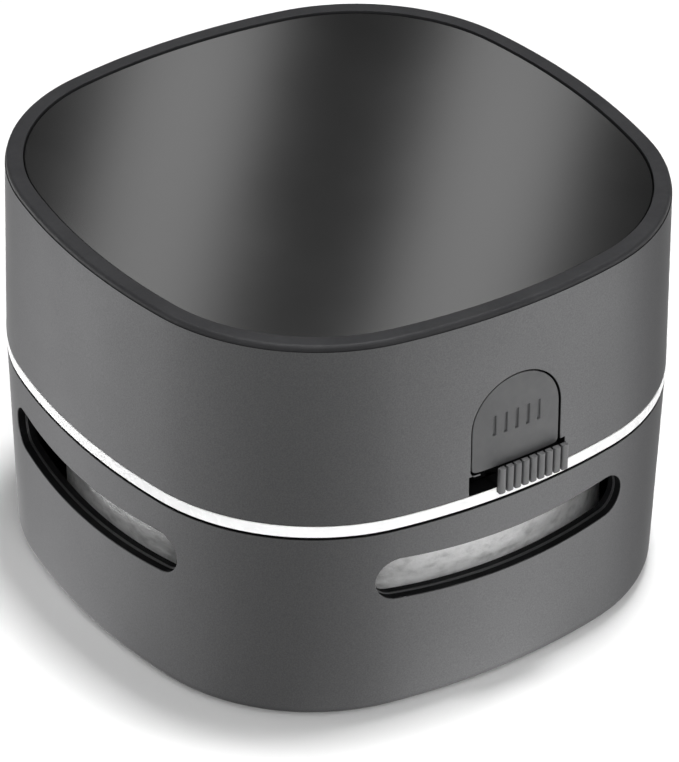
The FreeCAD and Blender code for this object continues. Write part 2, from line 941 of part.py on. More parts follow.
def armature():
    """Three-pole rotor of the motor."""
    radius = can_radius - can_wall - magnet_thickness - armature_gap
    middle = (motor_seat_height + can_top) / 2
    low = middle - armature_length / 2
    high = middle + armature_length / 2
    core = rod(radius, low, high)
    slots = []
    for pole in range(3):
        gap = block((armature_hub_radius, radius), around(0, armature_slot_width / 2), (low, high))
        slots.append(turned(gap, 2 * half_turn / 3 * pole))
    return cut_all(core, slots + [rod(shaft_radius, low, high)])


def commutator():
    low = (motor_seat_height + can_top + armature_length) / 2
    return ring(commutator_radius, shaft_radius, low, low + commutator_length)


def motor_shaft():
    return rod(shaft_radius, shaft_foot, shaft_end)


def vane():
    """One swept-back blade, between two arcs that lean the same way."""
    sweep = math.radians(vane_sweep)
    radii = (vane_root_radius, (vane_root_radius + impeller_radius) / 2, impeller_radius)
    flanks = []
    for side in sides:
        points = []
        for share, radius in zip((0.0, 0.5, 1.0), radii):
            angle = sweep * share + side * vane_thickness / 2 / radius
            points.append(vector(radius * math.cos(angle), radius * math.sin(angle), impeller_low))
        flanks.append(points)
    inner, outer = flanks
    edges = [
        Part.Arc(*inner).toShape(),
        Part.LineSegment(inner[2], outer[2]).toShape(),
        Part.Arc(*reversed(outer)).toShape(),
        Part.LineSegment(outer[0], inner[0]).toShape(),
    ]
    blade_height = impeller_height - impeller_disc
    return Part.Face(Part.Wire(edges)).extrude(z_axis * blade_height)


def impeller():
    disc = rod(impeller_radius, impeller_top - impeller_disc, impeller_top)
    hub = rod(impeller_hub_radius, impeller_low, impeller_top)
    vanes = [turned(vane(), 2 * half_turn / vane_count * i) for i in range(vane_count)]
    return cut_all(joined([disc, hub] + vanes), [rod(shaft_radius, impeller_low, impeller_top)])


def switch_board():
    board = block(
        around(switch_centre, board_half_width - fit_gap),
        (-board_face, -board_face + board_thickness),
        (deck_top, board_top),
    )
    return cut_all(board, switch_pins(fit_gap))


def switch_pins(growth):
    pin_z = (deck_top + switch_top) / 2
    return [
        Part.makeCylinder(
            switch_pin_radius + growth,
            switch_pin_length,
            vector(switch_centre + switch_pin_pitch * i, -board_face, pin_z),
            y_axis,
        )
        for i in (-1, 0, 1)
    ]


def switch_body():
    box = block(
        around(switch_centre, switch_half_width),
        (-switch_face, -board_face),
        (deck_top + fit_gap, switch_top),
    )
    slot_half = switch_travel / 2 + stem_half_width + stem_gap
    slot = block(
        around(switch_centre, slot_half),
        (-switch_face, -switch_face + switch_depth / 2),
        (stem_bottom - stem_gap, stem_bottom + stem_height + stem_gap),
    )
    return joined([box] + switch_pins(0)).cut(slot)


def switch_stem():
    return block(
        around(stem_centre, stem_half_width),
        (-fork_face + stem_gap / 2, -switch_face + switch_depth / 2 - slip_gap),
        (stem_bottom, stem_bottom + stem_height),
    )


def switch_knob():
    knob_right = knob_left + knob_width
    wall_face = half_width + seam_flare
    front = wall_face + knob_proud
    knob_z = (seam_height - knob_drop, window_top + knob_rise)
    pad = block((knob_left, knob_right), (-front, -wall_face - knob_face_gap), knob_z)
    neck = block(
        (knob_left + knob_neck_setback, knob_right - knob_neck_setback),
        (-wall_face - knob_face_gap, -fork_face),
        (seam_height + fit_gap, window_top - slip_gap),
    )
    flange = block(
        (knob_left - knob_flange_margin, knob_right + knob_flange_margin / 2),
        (-knob_flange_face, -fork_face),
        (seam_height + fit_gap, window_top),
    )
    fork = block(
        around(stem_centre, fork_half_width),
        (-fork_face, -fork_face + fork_depth),
        (stem_bottom - fork_margin, stem_bottom + stem_height + fork_margin / 2),
    )
    pocket = block(
        around(stem_centre, stem_half_width),
        (-fork_face, -fork_face + fork_depth),
        (stem_bottom, stem_bottom + stem_height),
    )
    pitch = knob_width / knob_ribs
    grooves = []
    for index in range(1, knob_ribs):
        groove_x = around(knob_left + pitch * index, rib_groove_width / 2)
        grooves.append(block(groove_x, (-front, -front + rib_groove_depth), knob_z))
    return cut_all(joined([pad, neck, flange, fork]), [pocket] + grooves)


def push_tab():
    skin = leaning_slab(tab_recess, seam_height, shell_rim_height)
    core = leaning_slab(tab_recess + tab_thickness, seam_height, shell_rim_height)
    tab = front_prism(tab_wire(0), beyond, front_reach).common(skin.cut(core))
    marks = []
    mark_skin = skin.cut(leaning_slab(tab_recess + tab_mark_depth, seam_height, shell_rim_height))
    for index in range(tab_mark_count):
        middle = tab_centre + tab_mark_pitch * (index - (tab_mark_count - 1) / 2)
        mark = block(
            around(middle, tab_mark_width / 2),
            (-half_width - beyond, 0),
            around(tab_shoulder + tab_mark_lift, tab_mark_height / 2),
        )
        marks.append(mark.common(mark_skin))
    return cut_all(tab, marks)


def latch_slider():
    plug_zone = leaning_slab(tab_recess + tab_thickness, seam_height, shell_rim_height)
    wall_core = slab(half_width - slider_face, seam_height, shell_rim_height)
    back_core = slab(half_width - slider_back, seam_height, shell_rim_height)
    plug = front_prism(tab_wire(0), beyond, front_reach).common(plug_zone.cut(wall_core))
    margin_x = tab_width / 2 + slider_margin
    flange_top_z = tab_base + tab_height + slider_margin
    flange = block(
        around(tab_centre, margin_x), (-half_width, 0), (slider_foot, flange_top_z)
    ).common(wall_core.cut(back_core))
    reach = leg_reach + leg_width / 2
    bar_y = (-half_width, -leg_face + leg_thickness)
    crossbar = block(around(tab_centre, reach), bar_y, (slider_foot, slider_foot + crossbar_height))
    crossbar = crossbar.common(wall_core)
    pieces = [plug, flange, crossbar]
    for side in sides:
        leg_x = around(tab_centre + side * leg_reach, leg_width / 2)
        pieces.append(block(leg_x, (-leg_face, -leg_face + leg_thickness), (hook_foot, slider_foot)))
        hook = block(leg_x, (-leg_face - hook_depth, -leg_face), (hook_foot, hook_foot + hook_height))
        pieces.append(hook)
    pin = Part.makeCylinder(
        spring_pin_radius,
        spring_pin_length,
        vector(tab_centre, slider_wall / 2 - slider_face, spring_height),
        y_axis,
    )
    return joined(pieces + [pin])


def latch_spring():
    front = slider_back - fit_gap
    length = front - spring_wall_face - fit_gap
    spring = coil(spring_radius, spring_wire_radius, length, spring_turns)
    spring.rotate(vector(0, 0, 0), x_axis, -quarter_turn)
    spring.translate(vector(tab_centre, -front, spring_height))
    return spring


def wire_run(points):
    """Round wire along straight runs with tangent bends."""
    edges = []
    start = points[0]
    for before, corner, after in zip(points, points[1:], points[2:]):
        inward = (corner - before).normalize()
        outward = (after - corner).normalize()
        half = inward.getAngle(outward) / 2
        cut_back = wire_bend * math.tan(half)
        enter = corner - inward * cut_back
        leave = corner + outward * cut_back
        bisector = (outward - inward).normalize()
        middle = corner + bisector * (wire_bend / math.cos(half) - wire_bend)
        edges.append(Part.LineSegment(start, enter).toShape())
        edges.append(Part.Arc(enter, middle, leave).toShape())
        start = leave
    edges.append(Part.LineSegment(start, points[-1]).toShape())
    direction = (points[1] - points[0]).normalize()
    section = Part.Wire([Part.Circle(points[0], direction, wire_radius).toShape()])
    return Part.Wire(edges).makePipeShell([section], True, False)


def lead_wires():
    """Motor to one cell, cell to cell, switch to motor, and switch to the other cell."""
    beside = terminal_reach + sheet_thickness / 2 + wire_radius
    high = motor_top + terminal_height / 2
    on_roof = bay_roof_top + wire_radius
    tab_face = bay_half_length - sheet_thickness
    board_back = -board_face + board_thickness
    left = tab_centre - spring_wall_half_width - 2 * wire_radius
    near = board_back + wire_run_out
    far = near + wire_climb
    first = board_top - 2 * wire_radius
    second = first - wire_spacing
    motor_to_cell = wire_run(
        [
            vector(beside, -terminal_width / 2, high),
            vector(beside, wire_climb, high),
            vector(cell_x, wire_climb + wire_cross, on_roof),
            vector(cell_x, tab_face, on_roof),
        ]
    )
    span = cell_x + contact_tab_half_width
    cell_to_cell = Part.makeCylinder(
        wire_radius, 2 * span, vector(-span, wire_radius - tab_face, on_roof), x_axis
    )
    switch_to_motor = wire_run(
        [
            vector(left, board_back, first),
            vector(left, near, first),
            vector(-beside, far, high),
            vector(-beside, terminal_width / 2, high),
        ]
    )
    switch_to_cell = wire_run(
        [
            vector(left, board_back, second),
            vector(left, near + wire_spacing, second),
            vector(-beside - wire_spacing / 2, far, on_roof),
            vector(-cell_x, far + wire_cross, on_roof),
            vector(-cell_x, tab_face, on_roof),
        ]
    )
    return [motor_to_cell, cell_to_cell, switch_to_motor, switch_to_cell]


def save(name, shape):
    """Write one piece, or a group of like pieces, as a STEP file."""
    whole = Part.makeCompound(shape) if isinstance(shape, list) else shape
    for solid in whole.Solids:
        if not solid.isValid() or solid.Volume <= 0:
            raise ValueError(f"{name} has a bad solid")
    whole.exportStep(os.path.join("parts", f"{name}.step"))


PIECES = [
    lower_shell,
    trim_ring,
    base_plate,
    base_screws,
    glide_feet,
    brush_ring,
    bristles,
    dust_cup,
    filter_frame,
    filter_felt,
    rim_seal,
    upper_shell,
    top_bezel,
    plate_tape,
    top_plate,
    motor_deck,
    motor_cup,
    deck_screws,
    battery_covers,
    cover_screws,
    battery_cells,
    contact_plates,
    contact_springs,
    motor_can,
    motor_magnets,
    motor_end_bell,
    motor_terminals,
    motor_clamp,
    clamp_screws,
    switch_board,
    switch_body,
    lead_wires,
    latch_spring,
    motor_shaft,
    armature,
    commutator,
    impeller,
    switch_knob,
    switch_stem,
    push_tab,
    latch_slider,
]

os.makedirs("parts", exist_ok=True)
for piece in PIECES:
    save(piece.__name__, piece())
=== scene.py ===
import math

import bmesh
import bpy
from mathutils import Matrix, Vector


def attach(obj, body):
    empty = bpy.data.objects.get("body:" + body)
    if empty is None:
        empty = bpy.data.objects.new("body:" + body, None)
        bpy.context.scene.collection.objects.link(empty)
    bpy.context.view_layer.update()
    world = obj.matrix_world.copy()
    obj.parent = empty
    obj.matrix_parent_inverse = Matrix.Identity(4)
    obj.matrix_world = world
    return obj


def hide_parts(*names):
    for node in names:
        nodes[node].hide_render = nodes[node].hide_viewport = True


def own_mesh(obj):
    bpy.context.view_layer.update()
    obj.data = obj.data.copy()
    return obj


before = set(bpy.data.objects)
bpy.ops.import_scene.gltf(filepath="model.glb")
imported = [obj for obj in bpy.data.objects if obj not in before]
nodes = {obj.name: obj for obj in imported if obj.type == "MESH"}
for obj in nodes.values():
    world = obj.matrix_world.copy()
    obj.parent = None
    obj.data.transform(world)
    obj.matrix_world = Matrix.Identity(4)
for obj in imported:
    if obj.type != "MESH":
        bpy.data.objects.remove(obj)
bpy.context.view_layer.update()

# Metres, row frame: +Z up, the release tab and the switch on the -Y face.


# ---------------------------------------------------------------------------
# Lower shell: moulded plastic, sprayed outside with satin grey lacquer and left black
# inside. A vent slot with a deep collar pierces each side. Its floor has a round opening,
# which the base plate closes from below, and its rim carries the bright trim ring.
# ---------------------------------------------------------------------------

MM = 0.001
half_width = 42.0 * MM
side_radius = 95.0 * MM
corner_radius = 28.4 * MM
side_shift = side_radius - half_width
arc_spread = side_radius - corner_radius
corner_centre = (math.sqrt(2 * arc_spread**2 - side_shift**2) - side_shift) / 2
side_angle = math.atan2(corner_centre, corner_centre + side_shift)
side_steps = 26
corner_steps = 30

seam_height = 33.1 * MM
body_height = 61.2 * MM
base_lift = 0.6 * MM
seam_flare = 0.45 * MM
base_taper = 0.55 * MM
base_rounding = 2.0 * MM
lower_wall = 1.8 * MM
plate_top = 2.5 * MM
flange_top = 4.2 * MM
rebate_inset = 4.3 * MM
shell_top = 30.8 * MM
trim_low = 31.2 * MM
lip_setback = 0.9 * MM
floor_opening_radius = 26.0 * MM
screw_reach = 30.5 * MM / math.sqrt(2)
screw_hole_radius = 1.2 * MM

slot_length = 41.0 * MM
slot_height = 6.6 * MM
slot_centre = 21.9 * MM
slot_lift = 0.8 * MM
collar_wall = 1.2 * MM
collar_depth = 2.4 * MM
collar_step = 0.22 * MM
step_depth = 1.25 * MM
flat_steps = 12
end_steps = 16
band_low = 14.0 * MM
band_high = 30.0 * MM
collar_front = 0.9 * MM
collar_from, collar_run = -45 * MM, 15 * MM
cutter_from, cutter_run = -50 * MM, 18 * MM
mouth_from, mouth_run = -46 * MM, 10 * MM
lower_edge = 0.16 * MM

tiny_gap = 0.001 * MM
weld_gap = 0.002 * MM
coarse_weld_gap = 0.01 * MM
level_gap = 0.01 * MM
sharp_angle = math.radians(36)
smooth_angle = math.radians(38)


def lean(z):
    """Inset of the outer wall from the nominal outline at a height."""
    if z >= seam_height:
        return -seam_flare * (body_height - z) / (body_height - seam_height)
    drop = (seam_height - z) / (seam_height - base_lift)
    return (seam_flare + base_taper) * drop - seam_flare


def depth_inside(x, y):
    """How far a place lies inside the nominal outline, seen from above."""
    near, far = sorted((abs(x), abs(y)))
    if math.atan2(near, far + side_shift) <= side_angle:
        return side_radius - math.hypot(far + side_shift, near)
    return corner_radius - math.hypot(far - corner_centre, near - corner_centre)


def use_only(piece):
    bpy.ops.object.select_all(action="DESELECT")
    piece.select_set(True)
    bpy.context.view_layer.objects.active = piece


def open_edit(piece, select_by="VERT"):
    use_only(piece)
    bpy.ops.object.mode_set(mode="EDIT")
    bpy.ops.mesh.select_mode(type=select_by)


def close_edit():
    bpy.ops.object.mode_set(mode="OBJECT")


def draw_line(name, places, closed):
    """Draw edges from place to place, out of one collapsed plane."""
    bpy.ops.object.select_all(action="DESELECT")
    bpy.ops.mesh.primitive_plane_add(size=MM, location=places[0])
    piece = bpy.context.active_object
    piece.name = name
    bpy.ops.object.transform_apply(location=True, rotation=True, scale=True)
    open_edit(piece)
    bpy.ops.mesh.select_all(action="SELECT")
    bpy.ops.mesh.merge(type="CENTER")
    route = list(places) + ([places[0]] if closed else [])
    for before, after in zip(route, route[1:]):
        step = tuple(end - start for start, end in zip(before, after))
        bpy.ops.mesh.extrude_region_move(TRANSFORM_OT_translate={"value": step})
    bpy.ops.mesh.select_all(action="SELECT")
    bpy.ops.mesh.remove_doubles(threshold=tiny_gap)
    close_edit()
    return piece


def wall_places(section):
    """Places of a section drawn on the +X side, from (inset, height) pairs."""
    return [(half_width - inset, 0, z) for inset, z in section]


def spin_about(centre, angle, steps):
    bpy.ops.mesh.spin(
        steps=steps, angle=-angle, center=(centre[0], centre[1], 0), axis=(0, 0, 1), dupli=False
    )


def tidy_mesh():
    bpy.ops.mesh.select_all(action="SELECT")
    bpy.ops.mesh.remove_doubles(threshold=weld_gap)
    bpy.ops.mesh.normals_make_consistent(inside=False)


def spin_outline(piece):
    """Spin a section round the eight arcs of the outline, one after another."""
    open_edit(piece)
    bpy.ops.mesh.select_all(action="SELECT")
    reach = corner_centre * math.sqrt(2)
    for quarter in range(4):
        turn = quarter * math.pi / 2
        side = (-side_shift * math.cos(turn), -side_shift * math.sin(turn))
        spin_about(side, side_angle, side_steps // 2)
        diagonal = turn + math.pi / 4
        corner = (reach * math.cos(diagonal), reach * math.sin(diagonal))
        spin_about(corner, math.pi / 2 - 2 * side_angle, corner_steps)
        ahead = turn + math.pi / 2
        next_side = (-side_shift * math.cos(ahead), -side_shift * math.sin(ahead))
        spin_about(next_side, side_angle, side_steps // 2)
    tidy_mesh()
    close_edit()


def close_loops(piece, *heights):
    """Fill each open loop of edges that lies level at one of the heights."""
    for height in heights:
        open_edit(piece, "EDGE")
        bpy.ops.mesh.select_all(action="DESELECT")
        mesh = bmesh.from_edit_mesh(piece.data)
        for edge in mesh.edges:
            level = all(abs(v.co.z - height) < level_gap for v in edge.verts)
            edge.select_set(level and len(edge.link_faces) == 1)
        bmesh.update_edit_mesh(piece.data)
        bpy.ops.mesh.edge_face_add()
        tidy_mesh()
        close_edit()


def combine(piece, tool, way):
    """Join, cut or intersect a piece with a tool, which is used up."""
    use_only(piece)
    joint = piece.modifiers.new("joint", "BOOLEAN")
    joint.operation = way
    joint.solver = "EXACT"
    joint.object = tool
    bpy.ops.object.modifier_apply(modifier=joint.name)
    bpy.data.objects.remove(tool, do_unlink=True)


def draw_prism(name, places, step):
    """Draw a closed outline, fill it and pull it out along a step."""
    piece = draw_line(name, places, True)
    open_edit(piece)
    bpy.ops.mesh.select_all(action="SELECT")
    bpy.ops.mesh.edge_face_add()
    bpy.ops.mesh.extrude_region_move(TRANSFORM_OT_translate={"value": step})
    tidy_mesh()
    close_edit()
    return piece


def draw_rod(name, radius, low, high, x=0.0, y=0.0, sides=96):
    """Upright round bar from one height to another."""
    bpy.ops.object.select_all(action="DESELECT")
    bpy.ops.mesh.primitive_cylinder_add(
        vertices=sides, radius=radius, depth=high - low, location=(x, y, (low + high) / 2)
    )
    rod = bpy.context.active_object
    rod.name = name
    bpy.ops.object.transform_apply(location=True, rotation=True, scale=True)
    return rod


def draw_block(name, x_range, y_range, z_range):
    spans = (x_range, y_range, z_range)
    middle = [(low + high) / 2 for low, high in spans]
    bpy.ops.object.select_all(action="DESELECT")
    bpy.ops.mesh.primitive_cube_add(size=1, location=middle)
    block = bpy.context.active_object
    block.name = name
    block.scale = [high - low for low, high in spans]
    bpy.ops.object.transform_apply(location=True, rotation=True, scale=True)
    return block


def turned_copy(piece, angle):
    """Copy of a piece with its own mesh, turned about the upright middle axis."""
    use_only(piece)
    bpy.ops.object.duplicate(linked=False)
    copy = bpy.context.active_object
    open_edit(copy)
    bpy.ops.mesh.select_all(action="SELECT")
    bpy.ops.transform.rotate(value=angle, orient_axis="Z", center_override=(0, 0, 0))
    close_edit()
    return copy


def round_sharp_edges(piece, width, crisp_height=None):
    """Break every sharp edge, but for those that lie level at the crisp height."""
    open_edit(piece, "EDGE")
    bpy.ops.mesh.select_all(action="SELECT")
    bpy.ops.mesh.remove_doubles(threshold=coarse_weld_gap)
    bpy.ops.mesh.select_all(action="DESELECT")
    bpy.ops.mesh.edges_select_sharp(sharpness=sharp_angle)
    if crisp_height is not None:
        mesh = bmesh.from_edit_mesh(piece.data)
        for edge in mesh.edges:
            if all(abs(v.co.z - crisp_height) < level_gap for v in edge.verts):
                edge.select_set(False)
        bmesh.update_edit_mesh(piece.data)
    bpy.ops.mesh.bevel(
        offset=width,
        offset_type="OFFSET",
        segments=2,
        profile=0.5,
        affect="EDGES",
        clamp_overlap=False,
    )
    close_edit()


def smooth_faces(piece):
    use_only(piece)
    bpy.ops.object.shade_smooth_by_angle(angle=smooth_angle)
    weigh = piece.modifiers.new("weigh", "WEIGHTED_NORMAL")
    weigh.keep_sharp = True
    weigh.weight = 80
    bpy.ops.object.modifier_apply(modifier=weigh.name)


def slot_places(growth, y):
    """Outline of a vent slot seen from the front, its ends a little higher than its middle."""
    radius = slot_height / 2 + growth
    bend_x = (slot_length - slot_height) / 2
    places = []
    for step in range(flat_steps + 1):
        share = step / (flat_steps // 2) - 1
        places.append((share * bend_x, y, slot_centre + slot_lift * share**2 + radius))
    for step in range(1, end_steps):
        angle = math.pi / 2 - math.pi * step / end_steps
        rise = slot_centre + slot_lift + radius * math.sin(angle)
        places.append((bend_x + radius * math.cos(angle), y, rise))
    for step in range(flat_steps + 1):
        share = 1 - step / (flat_steps // 2)
        places.append((share * bend_x, y, slot_centre + slot_lift * share**2 - radius))
    for step in range(1, end_steps):
        angle = -math.pi / 2 - math.pi * step / end_steps
        rise = slot_centre + slot_lift + radius * math.sin(angle)
        places.append((-bend_x + radius * math.cos(angle), y, rise))
    return places


wall_section = [(rebate_inset, plate_top), (rebate_inset, base_lift)]
round_top = base_lift + base_rounding
round_inset = lean(round_top)
for step in range(9):
    angle = math.pi / 2 * (1 - step / 8)
    inset = round_inset + base_rounding * (1 - math.cos(angle))
    wall_section.append((inset, round_top - base_rounding * math.sin(angle)))
for z in (8 * MM, 14 * MM, 20 * MM, 26 * MM, shell_top):
    wall_section.append((lean(z), z))
lip_inset = lean(shell_top) + lip_setback
wall_section += [(lip_inset, shell_top), (lip_inset, trim_low)]
for z in (trim_low, flange_top):
    wall_section.append((lean(z) + lower_wall, z))
lower_shell = draw_line("lower_shell_body", wall_places(wall_section), False)
spin_outline(lower_shell)
close_loops(lower_shell, plate_top, flange_top)



def draw_band(name, front, back):
    """Band all round the wall at the height of the slots, between two depths."""
    corners = [(front, band_low), (front, band_high), (back, band_high), (back, band_low)]
    band = draw_line(name, wall_places(corners), True)
    spin_outline(band)
    return band


collar = draw_prism("collar", slot_places(collar_wall, collar_from), (0, collar_run, 0))
combine(collar, draw_band("collar_band", collar_front, collar_depth), "INTERSECT")
cutter_places = slot_places(-collar_step, cutter_from)
slot_cutter = draw_prism("slot_cutter", cutter_places, (0, cutter_run, 0))
mouth = draw_prism("mouth", slot_places(0, mouth_from), (0, mouth_run, 0))
combine(mouth, draw_band("mouth_band", -MM, step_depth), "INTERSECT")
combine(slot_cutter, mouth, "UNION")
for quarter in range(1, 4):
    combine(lower_shell, turned_copy(collar, quarter * math.pi / 2), "UNION")
combine(lower_shell, collar, "UNION")
for quarter in range(1, 4):
    combine(lower_shell, turned_copy(slot_cutter, quarter * math.pi / 2), "DIFFERENCE")
combine(lower_shell, slot_cutter, "DIFFERENCE")
floor_cut = (plate_top - 1.5 * MM, flange_top + 1.8 * MM)
opening = draw_rod("opening", floor_opening_radius, *floor_cut)
combine(lower_shell, opening, "DIFFERENCE")
for x in (-screw_reach, screw_reach):
    for y in (-screw_reach, screw_reach):
        hole = draw_rod("hole", screw_hole_radius, *floor_cut, x, y, sides=32)
        combine(lower_shell, hole, "DIFFERENCE")
round_sharp_edges(lower_shell, lower_edge)
smooth_faces(lower_shell)


def start_material(name):
    """New material with its tree, its shader and the place on the object."""
    material = bpy.data.materials.new(name)
    material.use_nodes = True
    tree = material.node_tree
    place = tree.nodes.new("ShaderNodeTexCoord").outputs["Object"]
    return material, tree, tree.nodes["Principled BSDF"], place


def grain(tree, place, scale, detail=3.0):
    """Cloudy grain, with its scale in bumps per metre."""
    noise = tree.nodes.new("ShaderNodeTexNoise")
    noise.inputs["Scale"].default_value = scale
    noise.inputs["Detail"].default_value = detail
    tree.links.new(place, noise.inputs["Vector"])
    return noise.outputs["Fac"]


def shades(tree, factor, stops):
    """Colours (or grey levels) along a factor, from (position, colour) pairs."""
    ramp = tree.nodes.new("ShaderNodeValToRGB")
    band = ramp.color_ramp
    while len(band.elements) < len(stops):
        band.elements.new(0.5)
    for element, (position, colour) in zip(band.elements, stops):
        element.position = position
        rgb = colour if isinstance(colour, tuple) else (colour, colour, colour)
        element.color = (*rgb, 1)
    tree.links.new(factor, ramp.inputs["Fac"])
    return ramp.outputs["Color"]


def relief(tree, shader, height, strength, distance):
    """Fine relief on the surface, with its depth in metres."""
    bump = tree.nodes.new("ShaderNodeBump")
    bump.inputs["Strength"].default_value = strength
    bump.inputs["Distance"].default_value = distance
    tree.links.new(height, bump.inputs["Height"])
    tree.links.new(bump.outputs["Normal"], shader.inputs["Normal"])


def satin_lacquer(name, dark, light, rough, edge_tint):
    """Sprayed metallic lacquer: fine flake, a little orange peel, dull at a glancing angle."""
    material, tree, shader, place = start_material(name)
    flake = grain(tree, place, 5200, 1.0)
    tree.links.new(shades(tree, flake, [(0.3, dark), (0.7, light)]), shader.inputs["Base Color"])
    wear = grain(tree, place, 60, 4.0)
    roughness = shades(tree, wear, [(0.3, rough - 0.03), (0.7, rough + 0.03)])
    tree.links.new(roughness, shader.inputs["Roughness"])
    shader.inputs["Metallic"].default_value = 1.0
    shader.inputs["Specular Tint"].default_value = (edge_tint, edge_tint, edge_tint, 1)
    relief(tree, shader, grain(tree, place, 1500, 2.0), 0.12, 0.02 * MM)
    return material


def moulded_plastic(name, dark, light, rough, grain_scale=2500, shine=0.5, grain_depth=0.25):
    """Bare moulded plastic with a fine spark-eroded grain."""
    material, tree, shader, place = start_material(name)
    cloud = grain(tree, place, 180, 4.0)
    tree.links.new(shades(tree, cloud, [(0.35, dark), (0.65, light)]), shader.inputs["Base Color"])
    gloss = grain(tree, place, 900, 2.0)
    roughness = shades(tree, gloss, [(0.3, rough - 0.05), (0.7, rough + 0.05)])
    tree.links.new(roughness, shader.inputs["Roughness"])
    shader.inputs["Specular IOR Level"].default_value = shine
    relief(tree, shader, grain(tree, place, grain_scale, 3.0), grain_depth, 0.03 * MM)
    return material


shell_lacquer = satin_lacquer(
    "grey satin lacquer",
    dark=(0.105, 0.105, 0.107),
    light=(0.13, 0.13, 0.132),
    rough=0.42,
    edge_tint=0.42,
)
bare_black = moulded_plastic(
    "bare black plastic",
    dark=(0.003, 0.003, 0.0033),
    light=(0.005, 0.005, 0.0055),
    rough=0.65,
    shine=0.1,
)
paint_creep = 0.14 * MM
# Reach of the painted highlight round the step inside the vent slots.
step_highlight_reach = 0.2 * MM


def paint_outside(piece, outside, inside):
    """Lacquer on the outer wall and the foot, a painted highlight of lacquer on the step inside
    each slot, bare plastic on all the others.
    """
    piece.data.materials.clear()
    piece.data.materials.append(outside)
    piece.data.materials.append(inside)
    for face in piece.data.polygons:
        x, y, z = face.center
        depth = depth_inside(x, y)
        on_wall = depth < lean(z) + paint_creep
        # Lacquer on the step inside each vent slot is a painted highlight: it draws the light line
        # along the black ledge.
        painted_step_highlight = z < seam_height and abs(depth - step_depth) < step_highlight_reach
        on_foot = z < base_lift + base_rounding and abs(face.normal.z) > 0.1
        face.material_index = 0 if on_wall or painted_step_highlight or on_foot else 1


paint_outside(lower_shell, shell_lacquer, bare_black)
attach(lower_shell, "base")
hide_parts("lower_shell")


# ---------------------------------------------------------------------------
# Trim ring: a gloss white moulded band that shows between the two shells. Its leg plugs
# into the lower shell, and two ledges inside it are what the latch hooks catch.
# ---------------------------------------------------------------------------

trim_top = 33.0 * MM
trim_inset = 2.4 * MM
trim_leg_inset = 1.6 * MM
trim_leg_foot = 28.1 * MM
tab_centre = 0.4 * MM
latch_reach = 11.5 * MM
ledge_half = 1.8 * MM
ledge_face = 37.6 * MM
ledge_height = 1.0 * MM
ledge_root = 40.6 * MM
trim_edge = 0.14 * MM
# Depth behind the outer face beyond which the ring's faces are painted black as shade.
shade_paint_depth = 0.3 * MM

trim_ring = draw_line(
    "trim_ring_body",
    wall_places(
        [
            (lean(trim_low), trim_low),
            (lean(trim_top), trim_top),
            (trim_inset, trim_top),
            (trim_inset, trim_leg_foot),
            (trim_leg_inset, trim_leg_foot),
            (trim_leg_inset, trim_low),
        ]
    ),
    True,
)
spin_outline(trim_ring)
for side in (-1, 1):
    middle = tab_centre + side * latch_reach
    ledge = draw_block(
        "ledge",
        (middle - ledge_half, middle + ledge_half),
        (-ledge_root, -ledge_face),
        (trim_top - ledge_height, trim_top),
    )
    combine(trim_ring, ledge, "UNION")
round_sharp_edges(trim_ring, trim_edge)
smooth_faces(trim_ring)
gloss_white = moulded_plastic(
    "gloss white plastic",
    dark=(0.94, 0.94, 0.94),
    light=(0.95, 0.95, 0.95),
    rough=0.25,
    grain_scale=600,
    grain_depth=0.03,
)
trim_ring.data.materials.append(gloss_white)
trim_ring.data.materials.append(bare_black)
# Only the outer face of the ring is white. Its top, leg and inner faces are painted black as shade,
# so the ring reads dark through the switch window.
for face in trim_ring.data.polygons:
    x, y, z = face.center
    face.material_index = 0 if depth_inside(x, y) < lean(z) + shade_paint_depth else 1
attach(trim_ring, "base")
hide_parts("trim_ring")


# ---------------------------------------------------------------------------
# Under side: a moulded base plate with the suction mouth, held by four plated screws, with
# a ring of nylon bristles pressed into its groove and four soft glide feet.
# ---------------------------------------------------------------------------


def dress(material, *names):
    """Give nodes of the solid model their finish."""
    for name in names:
        for place in nodes[name].material_slots:
            place.material = material


def plated_steel(name, dark, light, rough):
    """Rolled or turned steel with a thin bright plating, finely drawn along Z."""
    material, tree, shader, place = start_material(name)
    stretch = tree.nodes.new("ShaderNodeMapping")
    stretch.inputs["Scale"].default_value = (1.0, 1.0, 0.15)
    tree.links.new(place, stretch.inputs["Vector"])
    drawn = grain(tree, stretch.outputs["Vector"], 1600, 3.0)
    tree.links.new(shades(tree, drawn, [(0.3, dark), (0.7, light)]), shader.inputs["Base Color"])
    roughness = shades(tree, drawn, [(0.3, rough - 0.06), (0.7, rough + 0.06)])
    tree.links.new(roughness, shader.inputs["Roughness"])
    shader.inputs["Metallic"].default_value = 1.0
    relief(tree, shader, drawn, 0.1, 0.01 * MM)
    return material


screw_steel = plated_steel("zinc plated steel", (0.42, 0.42, 0.42), (0.62, 0.61, 0.6), 0.32)
soft_rubber = moulded_plastic("black rubber", (0.018, 0.018, 0.018), (0.03, 0.03, 0.03), 0.75, 1200)
nylon_hair = moulded_plastic("nylon bristle", (0.05, 0.05, 0.055), (0.1, 0.1, 0.11), 0.4, 4000)
dress(bare_black, "base_plate", "brush_ring")
dress(screw_steel, "base_screws")
dress(soft_rubber, "glide_feet")
dress(nylon_hair, "bristles")


# ---------------------------------------------------------------------------
# Dust cup and filter: a black cup with the suction chimney in its middle, and a cage
# wrapped in needled felt that the air passes through on its way to the vent slots.
# ---------------------------------------------------------------------------

felt_outer = 38.0 * MM
felt_inner = 36.3 * MM
felt_low = 7.3 * MM
felt_high = 27.9 * MM
felt_rows = 26
felt_columns = 240
felt_nap = 0.08 * MM
skin_depth = 0.2 * MM
felt_margin = 0.1 * MM
matting = 0.07 * MM

dress(bare_black, "dust_cup", "filter_frame")
dress(soft_rubber, "rim_seal")

